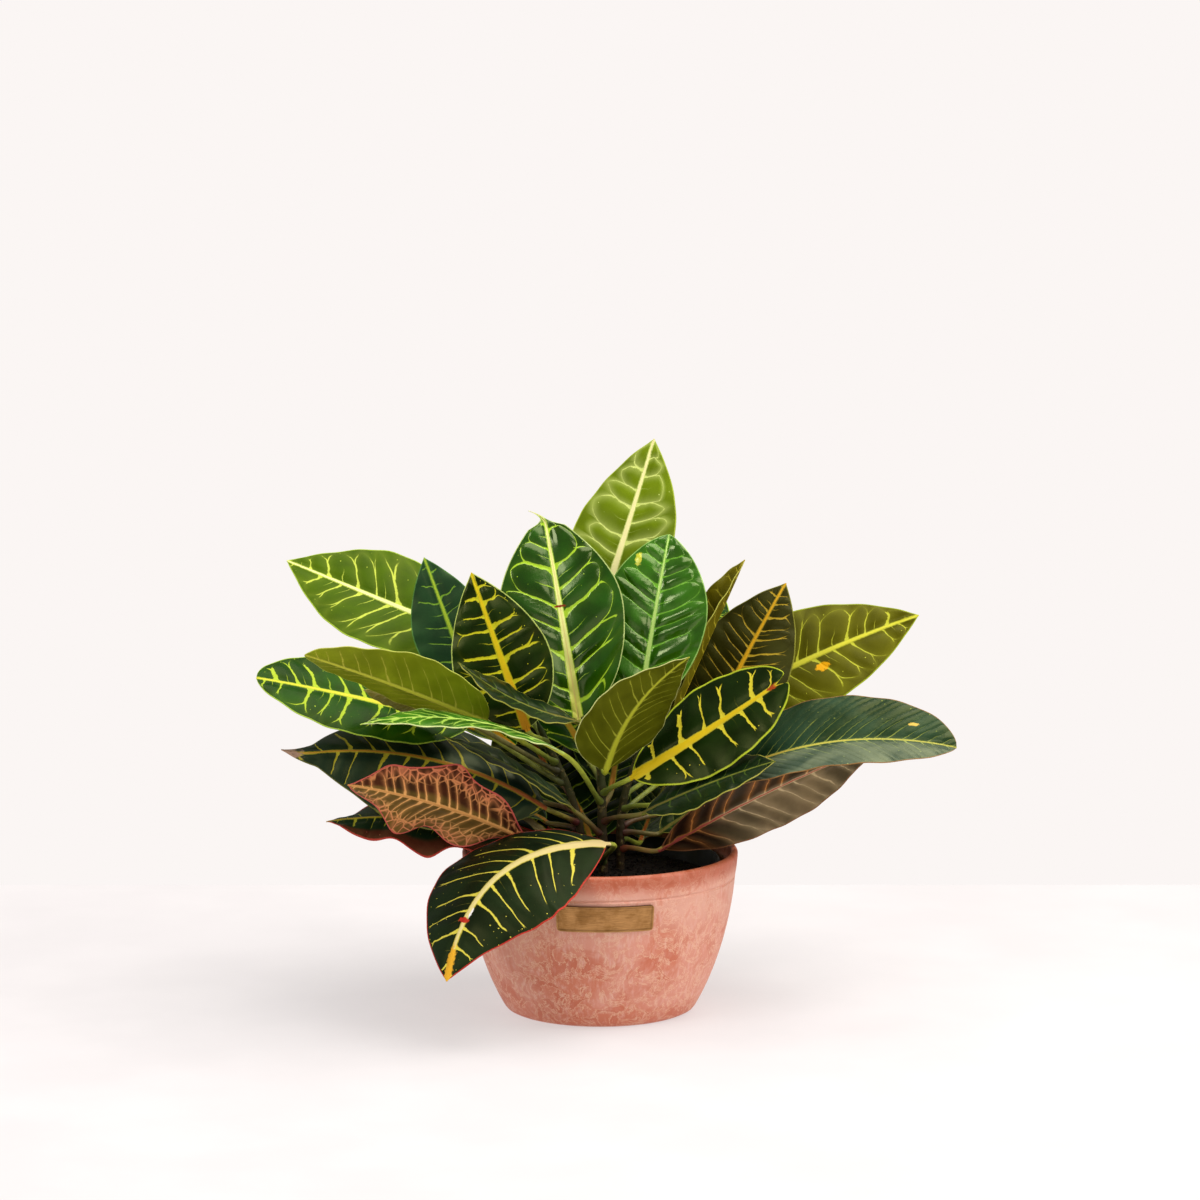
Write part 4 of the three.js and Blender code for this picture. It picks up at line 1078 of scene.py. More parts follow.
def blade_rings(leaf, midrib, line, normal0):
    """For each row its centre, its three directions, its section and its notch."""
    v = across_columns()
    rings = []
    for t in blade_rows():
        centre, along = bezier(midrib, t)
        along = unit(along)
        normal = turned_about(normal0, line, leaf["roll"] + leaf["twist"] * (t - 0.5))
        normal = unit(normal - along * normal.dot(along))
        side = np.cross(along, normal)
        late = max(0.0, (t - HOOK_FROM) / (1 - HOOK_FROM))
        centre = centre + side * leaf["hook"][0] * late ** 2 + along * leaf["hook"][1] * late
        x, z, half = blade_section(leaf, t, v)
        z = z + blade_relief(leaf, t, v, half)
        slope = np.arctan2(np.gradient(z), np.gradient(x)) * (1 - t ** 12)
        rib = RIB_DEPTH * (1 - t) * np.exp(-(x / RIB_DEPTH_REACH) ** 2)
        depth = (THICKNESS - EDGE_THINNER * np.abs(v) ** 8) * (1 - 0.4 * t ** 8) + rib
        xu, zu = x + depth * np.sin(slope), z - depth * np.cos(slope)
        xs, zs = np.concatenate([x, xu[::-1]]), np.concatenate([z, zu[::-1]])
        back = leaf["notch"] * max(0.0, (t - NOTCH_FROM) / (1 - NOTCH_FROM))
        dent = -back * np.exp(-(x / NOTCH_REACH) ** 2)
        dents = np.outer(np.concatenate([dent, dent[::-1]]), along)
        rings.append((centre, along, normal, side, xs, zs, dents))
    return rings


# %% Stalk rings


def stalk_rings(leaf, first):
    """The stalk's rings, from inside the stem to just before the blade's first ring."""
    foot, blade_along, blade_normal, _, first_x, first_z, _ = first
    centre, stem_along, radius = stem_at(STEMS[leaf["stem"]], leaf["node"])
    out = foot - centre
    out = unit(out - stem_along * out.dot(stem_along))
    start = centre + out * (radius + GAP)
    reach = np.linalg.norm(foot - start) / 3
    lean = unit(foot - start) * 0.55 + out * 0.3 + stem_along * 0.3
    path = [start, start + lean * reach, foot - blade_along * reach * 0.75, foot]
    angle = across_columns() * math.radians(87)
    circle_x = np.concatenate([np.sin(angle), np.sin(angle)[::-1]])
    circle_z = np.concatenate([np.cos(angle), -np.cos(angle)[::-1]])
    rings = []
    for row in range(STALK_ROWS):
        t = max(row - 1, 0) / (STALK_ROWS - 1)
        middle, along = bezier(path, t)
        along = out if row == 0 else unit(along)
        middle = centre + out * (radius - STALK_SUNK) if row == 0 else middle
        turn = Vector(blade_along).rotation_difference(Vector(along))
        up = np.array(turn @ Vector(blade_normal))
        side = np.cross(along, up)
        cushion = CUSHION * math.exp(-(t * 3 * reach / CUSHION_REACH) ** 2)
        r = PETIOLE_RADIUS + (STALK_RADIUS - PETIOLE_RADIUS) * t ** 3 + cushion
        share = np.clip((t - 0.55) / 0.45, 0, 1) ** 2
        xs = circle_x * r * (1 - share) + first_x * share
        zs = (circle_z * r - THICKNESS * t) * (1 - share) + first_z * share
        rings.append(middle + np.outer(xs, side) + np.outer(zs, up))
    return rings


def leaf_points(leaf):
    """All rings of a leaf, from the stalk's foot to the blade's tip, each one closed."""
    blade = blade_rings(leaf, *leaf_frame(leaf))
    rings = stalk_rings(leaf, blade[0])
    for middle, _, up, side, xs, zs, dents in blade:
        rings.append(middle + np.outer(xs, side) + np.outer(zs, up) + dents)
    rings = np.array(rings)
    return np.concatenate([rings, rings[:, :1]], axis=1)


# %% [markdown]
# ## The maps of a leaf
#
# The vein pattern reads places on the leaf, not in the room, so each face corner gets
# them from its row and column in the grid. Both faces share one set of side veins, as on
# a real leaf. A face belongs to one half of the blade as a whole, because left and right
# side veins are counted apart.

# %% Leaf maps
TOP_COLUMNS = 2 * HALF_COLUMNS


def leaf_maps(leaf):
    """The three maps of a leaf, each as a function of a face's corner rows and columns."""
    v_top = across_columns()
    v_ring = np.concatenate([v_top, v_top[::-1], v_top[:1]])
    t_rows = np.concatenate([np.linspace(-1, -0.02, STALK_ROWS), blade_rows()])

    def corner_values(rows, columns):
        face = columns.min(axis=1, keepdims=True)
        on_top = face <= TOP_COLUMNS
        right = np.where(on_top, face >= HALF_COLUMNS, face < TOP_COLUMNS + 1 + HALF_COLUMNS)
        v = v_ring[columns]
        t = t_rows[rows]
        side = np.where(right, 1.0, -1.0) + 0 * v
        _, _, half = blade_section(leaf, np.clip(t, 0, 1), side * np.abs(v))
        return v, t, side, np.abs(v) * half

    def blade(rows, columns):
        v, t, _, _ = corner_values(rows, columns)
        return np.stack([(v + 1) / 2, t], axis=-1)

    def veins(rows, columns):
        v, t, side, x = corner_values(rows, columns)
        return np.stack([vein_count(leaf, t, x, side), np.abs(v)], axis=-1)

    def span(rows, columns):
        v, t, side, x = corner_values(rows, columns)
        return np.stack([x * side, t * leaf["length"]], axis=-1)

    return {"blade": blade, "veins": veins, "span": span}


def face_finish(rows, columns):
    """Slot 0 on the upper face and the edge, 1 on the under face, 2 on the stalk."""
    slots = np.where(columns <= TOP_COLUMNS, 0, 1)
    slots = np.where(columns == 2 * TOP_COLUMNS + 1, 0, slots)
    return np.where(rows < STALK_ROWS - 1, 2, slots).astype(np.int32)


def make_leaf(name, stem, node, foot, point, heading, look_name, **shape):
    """A leaf on its stem: its node's height, where its blade begins and ends, the way it
    heads, its look, and what makes its shape its own."""
    leaf = {**TYPICAL, **shape, "stem": stem, "node": node, "foot": foot, "point": point,
            "heading": heading, "look": look_name}
    leaf["length"] = float(np.linalg.norm(np.subtract(point, foot))) * BLADE_LONGER
    leaf["seed"] = sum(ord(letter) * (i + 1) for i, letter in enumerate(name)) % 89
    obj = rolled_sheet(name + "_blade", leaf_points(leaf), leaf_maps(leaf), face_finish)
    for material in LOOKS[look_name]["materials"]:
        obj.data.materials.append(material)
    STEMS[stem]["scars"].append(node)
    finish_piece(obj, name)


def grow(stem, leaves):
    """Makes the leaves of one stem, numbered in the order given."""
    for number, (*place, shape) in enumerate(leaves, 1):
        make_leaf(f"leaf_{stem}_{number:02d}", stem, *place, **shape)
    print(len(leaves), "leaves on the", stem, "stem")


# %% [markdown]
# ## The leaves
#
# Every leaf has its own line: the height of its node on the stem, where the blade begins
# and ends, the way it heads, its look, and then what makes its shape its own. The first
# leaves of each stem are what the picture shows. The rest close the plant's back.

# %% Leaves of the middle stem
grow("centre", [
    (201, (-7, 42, 247), (38, 104, 382), 75, "young",
     dict(arch=-2, width=77, roll=-6, fold=8, widest=0.52)),
    (192, (-15, -5, 203), (-39, 25, 342), 95, "glossy",
     dict(arch=5, width=88, fold=12, widest=0.52, base=0.6, tip=0.95, hook=(-10, 2, 0.75))),
    (184, (27, 12, 204), (48, 45, 323), 80, "quilted",
     dict(arch=4, width=76, roll=4, fold=14, widest=0.55, tip=0.75)),
    (168, (4, -28, 172), (60, -70, 257), -60, "olive",
     dict(arch=6, width=72, sweep=7, widest=0.34)),
    (176, (-16, -41, 208), (-96, -50, 250), 195, "shade",
     dict(arch=-6, width=46, roll=-14, fold=8)),
    (150, (22, -25, 166), (127, -45, 239), -10, "gold_wide",
     dict(arch=-1, width=68, roll=52, fold=4, tip=0.55, widest=0.55, notch=10)),
    (144, (-28, -56, 191), (-159, -118, 220), 200, "variegated",
     dict(arch=12, width=54, roll=-2, fold=4)),
    (130, (31, -35, 144), (118, -72, 186), -20, "shade", dict(arch=2, width=56, roll=26)),
    (122, (-18, -16, 142), (-106, -36, 196), 195, "shade", dict(arch=4, width=42, roll=-10)),
    (108, (-43, -28, 119), (-169, -92, 174), 190, "red",
     dict(arch=6, width=70, roll=70, fold=14, widest=0.56, base=1.6, wave=5, waves=2.5, lobes=3,
          lobe_depth=0.3)),
    (102, (4, -62, 128), (-102, -138, 50), -130, "black_gold",
     dict(arch=26, width=109, roll=-4, fold=-8, sweep=17, base=0.7)),
    # towards the back
    (178, (0, 44, 205), (-30, 140, 280), 105, "young_left", dict(arch=6, width=80)),
    (166, (10, 46, 176), (40, 165, 222), 76, "glossy", dict(arch=8)),
    (156, (-10, 46, 168), (-72, 160, 215), 120, "green", dict(arch=10, width=78)),
    (136, (8, 46, 144), (22, 175, 180), 85, "dark", dict(arch=8)),
    (118, (-14, 46, 128), (-64, 150, 174), 114, "dark", dict(arch=5, width=80)),
    (106, (-6, 42, 106), (-30, 150, 140), 98, "dark", dict(arch=6, width=80)),
])

# %% Leaves of the left stem
grow("left", [
    (182, (-84, 20, 208), (-122, 50, 306), 90, "blue_green", dict(width=54, fold=8)),
    (184, (-50, -22, 199), (-88, 2, 303), 80, "gold",
     dict(arch=2, width=70, widest=0.42, base=0.6)),
    (178, (-84, 60, 246), (-220, 95, 297), 160, "young_left",
     dict(width=86, roll=-36, fold=8, base=0.65)),
    (170, (-77, -50, 209), (-197, -91, 262), 190, "olive_left",
     dict(arch=2, width=60, roll=44, fold=24, widest=0.42, base=0.5, tip=0.7)),
    (164, (-92, -24, 205), (-160, -46, 230), 185, "beige", dict(arch=2, width=34, roll=42, fold=6)),
    (156, (-90, 0, 197), (-233, -38, 237), 190, "green",
     dict(arch=2, width=78, roll=-32, fold=6, tip=0.55)),
    (128, (-38, -14, 143), (-205, -38, 184), 185, "slate_left",
     dict(arch=16, width=96, roll=-44, fold=-16, hook=(6, 11, 0.0))),
    (112, (-52, -8, 120), (-187, -30, 136), 180, "flecked",
     dict(arch=8, width=66, roll=-20, fold=-10, wave=4, waves=3, lobes=3, lobe_depth=0.2)),
    # towards the back
    (172, (-50, 52, 200), (-118, 140, 256), 128, "glossy", dict(arch=6)),
    (160, (-60, 42, 174), (-160, 118, 204), 145, "green", dict(arch=10, width=76)),
    (148, (-38, 52, 158), (-88, 175, 188), 115, "slate_left", dict(arch=12)),
    (136, (-52, 30, 142), (-168, 76, 160), 158, "dark", dict(arch=12, width=66)),
    (122, (-38, 32, 124), (-122, 86, 138), 146, "dark", dict(arch=6, width=56)),
    (108, (-40, 46, 112), (-116, 138, 106), 128, "black_gold", dict(arch=16)),
])

# %% Leaves of the right stem
grow("right", [
    (182, (48, 34, 192), (100, 40, 306), 5, "slender", dict(width=48, roll=25, fold=50)),
    (164, (70, 36, 175), (130, 76, 284), 45, "bronze", dict(arch=2, width=76, roll=20, fold=6)),
    (174, (76, 68, 195), (224, 90, 259), 15, "young_olive",
     dict(arch=4, width=76, roll=50, fold=6, base=0.65)),
    (136, (57, -20, 149), (240, -70, 195), -12, "slate",
     dict(arch=20, width=78, roll=30, fold=20, widest=0.6, tip=0.6)),
    (119, (42, 12, 120), (140, 48, 163), 20, "shade", dict(arch=4, width=58, roll=20)),
    (108, (42, -10, 113), (192, -10, 186), 0, "mauve",
     dict(arch=4, width=60, roll=-60, fold=-6, base=0.8)),
    # towards the back
    (170, (24, 62, 202), (88, 160, 262), 62, "green", dict(arch=6)),
    (134, (50, 56, 154), (152, 128, 198), 36, "bronze", dict(arch=8, width=76)),
    (144, (33, 66, 148), (96, 176, 158), 62, "glossy", dict(arch=12)),
    (124, (54, 42, 132), (150, 108, 122), 32, "dark", dict(arch=16)),
    (113, (29, 56, 106), (60, 150, 144), 72, "slate", dict(arch=6)),
])

# %% [markdown]
# ## The stems
#
# The bark is green at the top, brown towards the soil, and flecked with pale cork. Old
# leaf scars ring it, so the tube swells a little at every leaf, and its end is a small
# pointed bud. The stems are made after the leaves, because only now do they know where
# their scars are.

# %% Bark
bark, wires, inputs = new_material("stem_bark_green", 0.6)
place = wires.place()
patches = wires.noise(place, 90.0, detail=5.0, rough=0.65)
tone = wires.mix(wires.ramp(patches, 0.4, 0.62), paint("#2e3d10"), paint("#42441a"))
higher = wires.ramp(wires.split(place)[2], 0.1, 0.2)
tone = wires.mix(higher, paint("#35260f"), tone)
corky = wires.ramp(wires.noise(place, 260.0, detail=4.0), 0.58, 0.68)
wires.put(wires.mix(corky, tone, paint("#6a5c30")), inputs["Base Color"])
inputs["Specular IOR Level"].default_value = 0.25
add_bump(wires, inputs, wires.plus(patches, corky), 0.6, 0.5)
print("bark:", len(wires.tree.nodes), "nodes")

# %% Stem pieces
STEM_SIDES = 24
STEM_ROWS = 110
SCAR_SWELL, SCAR_REACH, SCAR_BELOW = 0.16, 1.6, 1.5
UNEVEN, UNEVEN_TURNS = 0.03, 1.9
BUD = ((2, 0.95), (4, 0.8), (6.5, 0.5), (9, 0.15))


def stem_ring(centre, along, radius):
    """A ring of points round the stem's line."""
    side = unit(np.cross([0, 1, 0], along))
    across = np.cross(side, along)
    angle = np.linspace(0, 2 * np.pi, STEM_SIDES + 1)
    return (centre + np.outer(np.cos(angle) * radius, side)
            + np.outer(np.sin(angle) * radius, across))


for stem_name, stem in STEMS.items():
    rings = []
    top = stem["heights"][-1]
    for height_mm in np.linspace(STEM_FOOT, top, STEM_ROWS):
        centre, along, radius = stem_at(stem, height_mm)
        swell = sum(math.exp(-((height_mm - scar + SCAR_BELOW) / SCAR_REACH) ** 2)
                    for scar in stem["scars"])
        uneven = UNEVEN * math.sin(height_mm * UNEVEN_TURNS)
        radius *= 1 + SCAR_SWELL * min(swell, 1.0) + uneven
        rings.append(stem_ring(centre, along, radius))
    centre, along, radius = stem_at(stem, top)
    rings += [stem_ring(centre + along * rise, along, radius * share) for rise, share in BUD]
    piece = rolled_sheet(f"stem_{stem_name}_bark", np.array(rings))
    piece.data.materials.append(bark)
    finish_piece(piece, f"stem_{stem_name}")

# %% [markdown]
# ## Turned pieces
#
# The clay pot, the nursery pot and the soil are round. A round piece is easiest as its own
# cut section spun about the upright axis. A circle primitive gives a closed loop with as many
# points as the section needs; its points are moved onto the section and the loop is spun.

# %% Spinning a section
POT_STEPS = 144
SPUN_GAP = 1e-6


def spun(name, section, steps=POT_STEPS, crease=35):
    """A closed section of (radius, height) points in millimetres, spun about the axis."""
    bpy.ops.object.select_all(action="DESELECT")
    bpy.ops.mesh.primitive_circle_add(vertices=len(section), radius=1, fill_type="NOTHING")
    obj = call_it(name)
    for vertex, (radius, height_mm) in zip(obj.data.vertices, section):
        vertex.co = Vector((radius, 0, height_mm)) * MM
    bpy.ops.object.mode_set(mode="EDIT")
    bpy.ops.mesh.select_all(action="SELECT")
    bpy.ops.mesh.spin(steps=steps, angle=2 * math.pi, center=(0, 0, 0), axis=(0, 0, 1))
    bpy.ops.mesh.select_all(action="SELECT")
    bpy.ops.mesh.remove_doubles(threshold=SPUN_GAP)
    bpy.ops.mesh.dissolve_degenerate(threshold=SPUN_GAP)
    bpy.ops.mesh.normals_make_consistent(inside=False)
    bpy.ops.object.mode_set(mode="OBJECT")
    bpy.ops.object.shade_smooth_by_angle(angle=math.radians(crease))
    return obj


# %% [markdown]
# ## Clay pot
#
# The pot is a bowl with a flat foot, a wall that curves outwards, a faint line under the
# rim band and a rounded lip. Its section follows the wall's curve from the foot up, goes
# over the lip and comes down inside, a wall's thickness further in.

# %% Clay pot shape
BOWL_WALL = [(66.5, 3), (81, 28), (90.5, 62), (93.2, 92.5)]
BOWL_FOOT = [(0, 0), (59.5, 0), (60, 0.02), (63, 0.25), (65, 1.2)]
RIM_BAND = [(92.75, 93.2), (92.6, 93.6), (92.85, 94.1), (93.5, 94.7), (94.3, 100), (94.9, 106)]
BOWL_INSIDE = [(55, 8), (0, 8)]
BOWL_THICK = 5
BOWL_LOWEST_INSIDE = 11
LIP_RADIUS = 2.5
LIP_CENTRE = (92.5, 108.5)


def bowl_wall(samples):
    """Points on the outside of the wall as (radius, height), from the foot to the band."""
    wall, _ = bezier([np.array(p, float) for p in BOWL_WALL], np.linspace(0, 1, samples))
    return wall


def bowl_section():
    wall = bowl_wall(25)
    lip = []
    for degrees in range(0, 181, 15):
        a = math.radians(degrees)
        lip.append((LIP_CENTRE[0] + LIP_RADIUS * math.cos(a),
                    LIP_CENTRE[1] + LIP_RADIUS * math.sin(a)))
    inner = [(r - BOWL_THICK, max(z, BOWL_LOWEST_INSIDE)) for r, z in wall[::-4]]
    return BOWL_FOOT + [tuple(p) for p in wall] + RIM_BAND + lip + inner + BOWL_INSIDE


pot = spun("clay_pot_bowl", bowl_section())

# %% [markdown]
# ## Salmon clay
#
# The clay is salmon-coloured, and salts from the water have come through it. From the
# bottom layer up: soft clouds of two tones, fine pale streaks that run upright, darker
# worn flakes where the clouds are thin, and a light outline round each flake, which is
# where the same noise passes its middle value. A pale film lies under the rim band, the
# lip is rubbed to a darker orange, and the clay turns a darker orange towards the foot.
# Each layer is one more mix.

# %% Salmon clay
clay, wires, inputs = new_material("clay_salmon", 0.75)
place = wires.place()
height = wires.split(place)[2]
clouds = wires.noise(place, 22.0, detail=9.0, rough=0.6, bend=0.6)
flakes = wires.noise(place, 70.0, detail=11.0, rough=0.72, bend=0.8)
streaks = wires.noise(wires.squeezed_upright(place, 0.22), 420.0, detail=5.0, rough=0.6)

worn = wires.times(wires.ramp(flakes, 0.5, 0.53), wires.ramp(clouds, 0.62, 0.42))
outline = wires.absolute(wires.minus(flakes, 0.5))
film = wires.times(wires.ramp(height, 0.055, 0.09), wires.fall(height, 0.094, 0.108))
lip = wires.times(wires.ramp(height, 0.095, 0.106), wires.ramp(flakes, 0.35, 0.65, 1.0, 0.5))
foot = wires.times(wires.fall(height, 0.0, 0.016, 0.8), wires.ramp(flakes, 0.3, 0.6, 1.0, 0.2))
layers = [
    (wires.times(wires.ramp(streaks, 0.45, 0.72), 0.5), "#e6b9aa"),
    (wires.times(worn, 0.75), "#c2613e"),
    (wires.fall(outline, 0.003, 0.02, 0.75), "#e8bd9c"),
    (wires.times(film, wires.ramp(flakes, 0.35, 0.6, 0.2, 0.75)), "#dda893"),
    (lip, "#ac4d24"),
    (foot, "#bf6240"),
]
body = wires.mix(wires.ramp(clouds, 0.4, 0.62), paint("#cc7250"), paint("#d88f78"))
for share, shade in layers:
    body = wires.mix(share, body, paint(shade))
wires.put(body, inputs["Base Color"])
wires.put(wires.ramp(clouds, 0.35, 0.65, 0.48, 0.68), inputs["Roughness"])
inputs["Specular IOR Level"].default_value = 0.7
add_bump(wires, inputs, wires.plus(flakes, wires.times(streaks, 0.3)), 0.35, 0.5)
pot.data.materials.append(clay)
finish_piece(pot, "clay_pot")

# %% [markdown]
# ## Nursery pot
#
# The plant still stands in the black plastic pot it was grown in, which shows only as a
# thin dark rim inside the bowl. It is one thin wall with a wider band at its rim, so it
# is spun like the bowl. Dust makes the plastic paler and duller in places.

# %% Nursery pot
NURSERY_RIM, NURSERY_TOP, NURSERY_FOOT = 82.7, 80, 53.5
NURSERY_HEIGHT, NURSERY_BAND, NURSERY_WALL = 104, 94, 1.6
FLOOR_Z = 8.3


def nursery_section():
    rim, top, foot, wall = NURSERY_RIM, NURSERY_TOP, NURSERY_FOOT, NURSERY_WALL
    high, band = NURSERY_HEIGHT, NURSERY_BAND
    return [
        (0, FLOOR_Z), (foot - 1, FLOOR_Z), (foot, FLOOR_Z + 0.8), (top, band - 0.2),
        (top + 0.2, band), (rim - 0.5, band + 0.4), (rim, band + 0.9), (rim, high - 0.8),
        (rim - 0.25, high - 0.25), (rim - 0.8, high), (rim - wall + 0.2, high - 0.1),
        (rim - wall, high - 0.6), (top - wall, band - 1), (foot - wall, FLOOR_Z + wall),
        (0, FLOOR_Z + wall),
    ]


plastic, wires, inputs = new_material("nursery_black", 0.45)
dusty = wires.noise(wires.place(), 140.0, detail=5.0)
wires.put(wires.mix(wires.ramp(dusty, 0.5, 0.8), paint("#151515"), paint("#3a3733")),
          inputs["Base Color"])
wires.put(wires.ramp(dusty, 0.3, 0.8, 0.35, 0.7), inputs["Roughness"])
nursery = spun("nursery_pot_shell", nursery_section(), crease=25)
nursery.data.materials.append(plastic)
finish_piece(nursery, "nursery_pot")

# %% [markdown]
# ## Soil
#
# The soil is dark peat: a spun disc, a little higher in its middle, whose top is
# roughened by noise and strewn with crumbs. One crumb is a low icosphere, and each copy
# is turned, flattened and sunk into the surface. All of it is joined into one piece.

# %% Peat
PEAT_EDGE, PEAT_RISE, PEAT_RADIUS = 92, 2.2, 78
PEAT_REACH = 76.2
PEAT_FOOT_RADIUS, PEAT_BOTTOM = 50, FLOOR_Z + 2
ROUGH_ABOVE_M = 0.08

peat, wires, inputs = new_material("peat_dark", 0.95)
clumps = wires.noise(wires.place(), 300.0, detail=6.0, rough=0.7)
wires.put(wires.mix(wires.ramp(clumps, 0.4, 0.7), paint("#0d0906"), paint("#2c2017")),
          inputs["Base Color"])
inputs["Specular IOR Level"].default_value = 0.15
add_bump(wires, inputs, clumps, 0.8, 1.0)


def soil_height(radius):
    """The crown of the soil: highest in the middle, lowest at the pot's wall."""
    return PEAT_EDGE + PEAT_RISE * (1 - (radius / PEAT_RADIUS) ** 2)


crown = [(r, soil_height(r)) for r in np.linspace(PEAT_REACH, 0, 34)]
section = [(0, PEAT_BOTTOM), (PEAT_FOOT_RADIUS, PEAT_BOTTOM)] + crown
soil = spun("soil_peat", section, steps=110, crease=80)
for vertex in soil.data.vertices:
    if vertex.co.z > ROUGH_ABOVE_M:
        rough = noise.noise(vertex.co * 260) + 0.6 * noise.noise(vertex.co * 700)
        vertex.co.z += 0.0007 * rough - 0.0006
soil.data.materials.append(peat)
print("peat disc:", len(soil.data.polygons), "faces")

# %% Crumbs
CRUMBS = 420
CRUMB_SIZES = (0.8, 2.4)
CRUMB_REACH = 74
CRUMB_SUNK = 0.3

random.seed(7)
bpy.ops.object.select_all(action="DESELECT")
bpy.ops.mesh.primitive_ico_sphere_add(subdivisions=1, radius=1)
crumb = call_it("crumb")
crumb.data.materials.append(peat)
crumbs = []
for index in range(CRUMBS):
    copy = bpy.data.objects.new(f"crumb_{index}", crumb.data.copy())
    bpy.context.collection.objects.link(copy)
    distance = CRUMB_REACH * math.sqrt(random.random())
    angle = random.uniform(0, 2 * math.pi)
    size = random.uniform(*CRUMB_SIZES)
    copy.location = Vector((distance * math.cos(angle), distance * math.sin(angle),
                            soil_height(distance) - CRUMB_SUNK)) * MM
    copy.rotation_euler = [random.uniform(0, math.pi) for _ in range(3)]
    flat = Vector((1, random.uniform(0.5, 1), random.uniform(0.3, 0.7)))
    copy.scale = flat * size * MM
    crumbs.append(copy)
bpy.data.objects.remove(crumb)
only(soil)
for copy in crumbs:
    copy.select_set(True)
bpy.ops.object.join()
soil.data.name = "soil_peat"
finish_piece(soil, "soil")

# %% [markdown]
# ## Brass plate
#
# The plate is a thin stamped sheet, bent to the pot's wall, with rounded corners and a
# fine raised border round a plain face. It starts as a flat grid. Each point is moved to
# its place on the wall, and those inside the border are pressed in. Solidify then gives
# the sheet its thickness, and Bevel breaks its sharp edges.

# %% Plate shape
PLATE_WIDTH, PLATE_HEIGHT, PLATE_BOTTOM = 66, 18, 72.6
PLATE_MIDDLE = PLATE_BOTTOM + PLATE_HEIGHT / 2
PLATE_TURN = math.radians(2.2)
PLATE_CORNER = 2.5
PLATE_PROUD = 1.65
PLATE_THICK = 0.9
PLATE_EDGE = 0.2
BORDER, PRESSED_IN = 1.1, 0.35
OUTER_WALL = bowl_wall(200)


def wall_radius(z):
    return float(np.interp(z, OUTER_WALL[:, 1], OUTER_WALL[:, 0]))


def on_wall(x, z, proud):
    """A plate point x across and z up from the plate's middle, on the pot's wall."""
    angle = PLATE_TURN + x / wall_radius(PLATE_MIDDLE)
    radius = wall_radius(PLATE_MIDDLE + z) + proud
    return Vector((radius * math.sin(angle), -radius * math.cos(angle), PLATE_MIDDLE + z)) * MM


bpy.ops.object.select_all(action="DESELECT")
bpy.ops.mesh.primitive_grid_add(x_subdivisions=64, y_subdivisions=18, size=2)
plate = call_it("name_plate_brass")
reach, rise = PLATE_WIDTH / 2, PLATE_HEIGHT / 2
for vertex in plate.data.vertices:
    x = reach * math.sin(math.pi / 2 * vertex.co.x)
    into = max(0.0, abs(x) - reach + PLATE_CORNER)
    limit = rise - PLATE_CORNER + math.sqrt(PLATE_CORNER ** 2 - into ** 2)
    z = limit * math.sin(math.pi / 2 * vertex.co.y)
    inside = min(reach - abs(x), limit - abs(z))
    vertex.co = on_wall(x, z, PLATE_PROUD - (PRESSED_IN if inside >= BORDER else 0.0))
print("plate laid on the wall:", len(plate.data.vertices), "points")

# %% Plate thickness and edges
only(plate)
solid = plate.modifiers.new("thickness", "SOLIDIFY")
solid.thickness = PLATE_THICK * MM
solid.offset = 1 if plate.data.polygons[0].normal.y > 0 else -1
bevel = plate.modifiers.new("edge", "BEVEL")
bevel.width = PLATE_EDGE * MM
bevel.segments = 2
bevel.limit_method = "ANGLE"
bevel.angle_limit = math.radians(50)
for modifier in ("thickness", "edge"):
    bpy.ops.object.modifier_apply(modifier=modifier)
bpy.ops.object.mode_set(mode="EDIT")
bpy.ops.mesh.select_all(action="SELECT")
bpy.ops.mesh.normals_make_consistent(inside=False)
bpy.ops.object.mode_set(mode="OBJECT")
bpy.ops.object.shade_smooth_by_angle(angle=math.radians(40))
print("plate with its thickness:", len(plate.data.polygons), "faces")
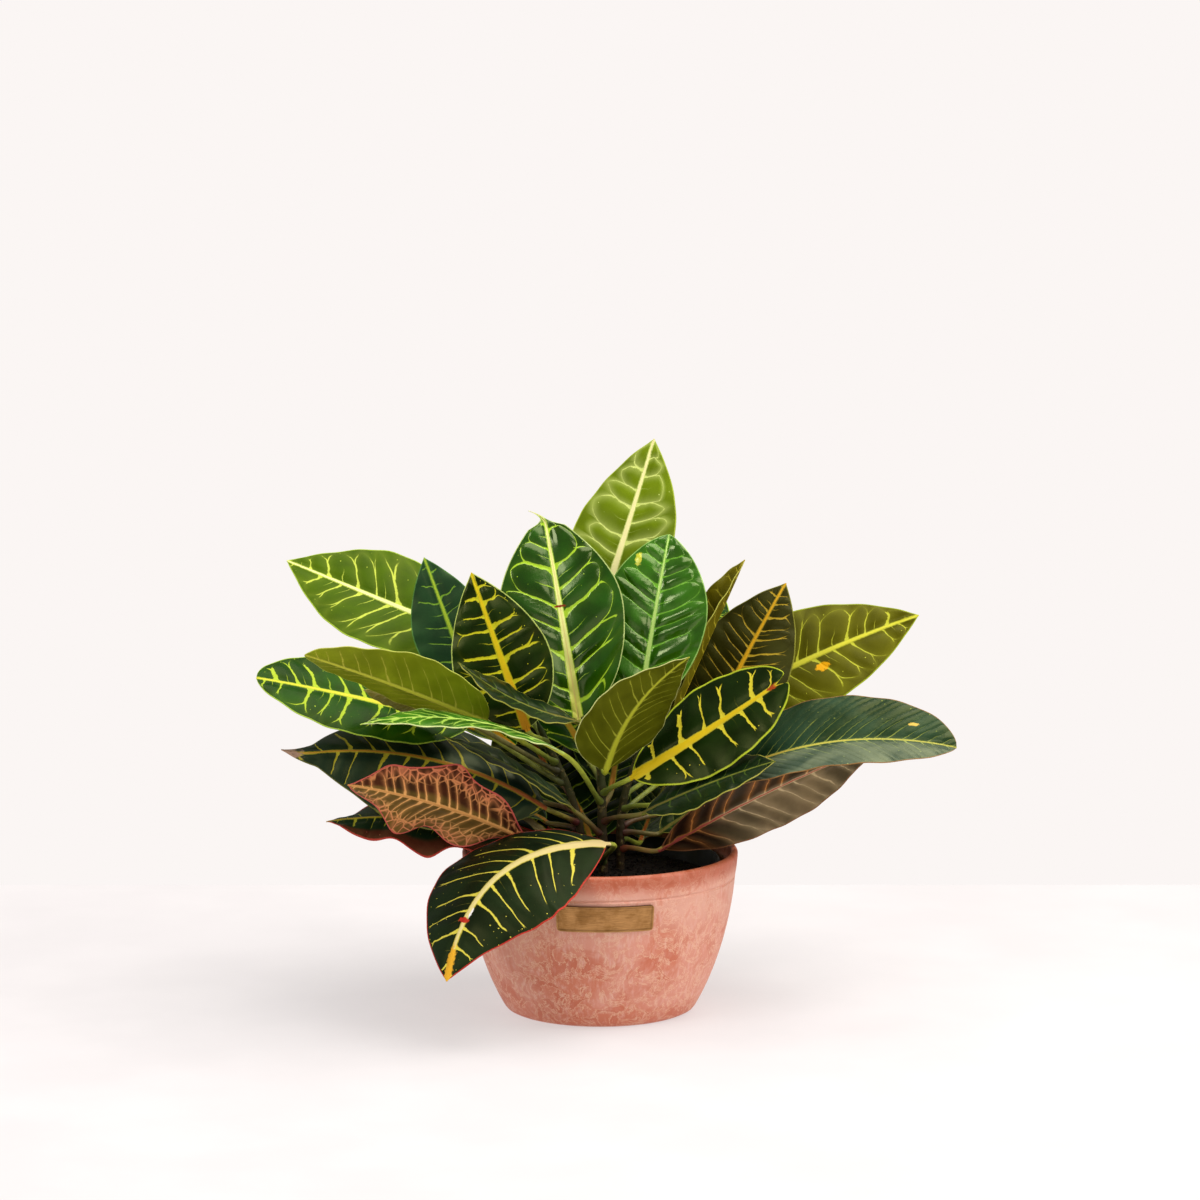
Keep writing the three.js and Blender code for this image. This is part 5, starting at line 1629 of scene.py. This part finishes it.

# %% [markdown]
# ## Antique brass
#
# The brass is warm and tarnished in patches, brushed from left to right, and grimy in the
# corner beside its border. Its border is bright, partly where it is rubbed and partly as a
# painted highlight, and a painted shadow darkens the plate along its upper edge. The
# border's place comes from the distance to the plate's edge, which the shader works out on
# the round wall: the angle about the pot's axis times the radius, and the height. So the
# finish needs no map.

# %% Antique brass
brass, wires, inputs = new_material("brass_antique", 0.42, 0.85)
place = wires.place()
tarnish = wires.noise(place, 90.0, detail=6.0, rough=0.6)
brushed = wires.noise(wires.squeezed_upright(place, 14.0), 200.0, detail=2.0)

east, north, up = wires.split(place)
turn = wires.minus(wires.math("ARCTAN2", east, wires.times(north, -1.0)), PLATE_TURN)
sideways = wires.times(turn, wall_radius(PLATE_MIDDLE))
upwards = wires.minus(wires.times(up, 1 / MM), PLATE_MIDDLE)
to_edge = wires.math("MINIMUM", wires.minus(PLATE_WIDTH / 2, wires.absolute(sideways)),
                     wires.minus(PLATE_HEIGHT / 2, wires.absolute(upwards)))
to_top = wires.minus(PLATE_HEIGHT / 2, upwards)
grime = wires.times(wires.ramp(to_edge, 0.7, 1.2), wires.fall(to_edge, 1.2, 2.2, 0.35))
layers = [
    (wires.ramp(brushed, 0.35, 0.7, 0.0, 0.4), "#6b4824"),
    (grime, "#4c3118"),
    # bright rim: rubbed brass, partly a painted highlight
    (wires.fall(to_edge, 0.2, 0.8, 0.35), "#c79a5e"),
    # painted shadow along the upper edge
    (wires.fall(to_top, 0.1, 0.7, 0.9), "#3a1d10"),
]
warm = wires.mix(wires.ramp(tarnish, 0.4, 0.7), paint("#b98a54"), paint("#9c703c"))
for share, shade in layers:
    warm = wires.mix(share, warm, paint(shade))
wires.put(warm, inputs["Base Color"])
wires.put(wires.ramp(tarnish, 0.35, 0.7, 0.36, 0.56), inputs["Roughness"])
add_bump(wires, inputs, wires.plus(tarnish, brushed), 0.25, 0.15)
plate.data.materials.append(brass)
finish_piece(plate, "name_plate")

# %% [markdown]
# ## The size
#
# The finer pieces must stay inside the CAD model's box.

# %% Sizes
print("all pieces made")
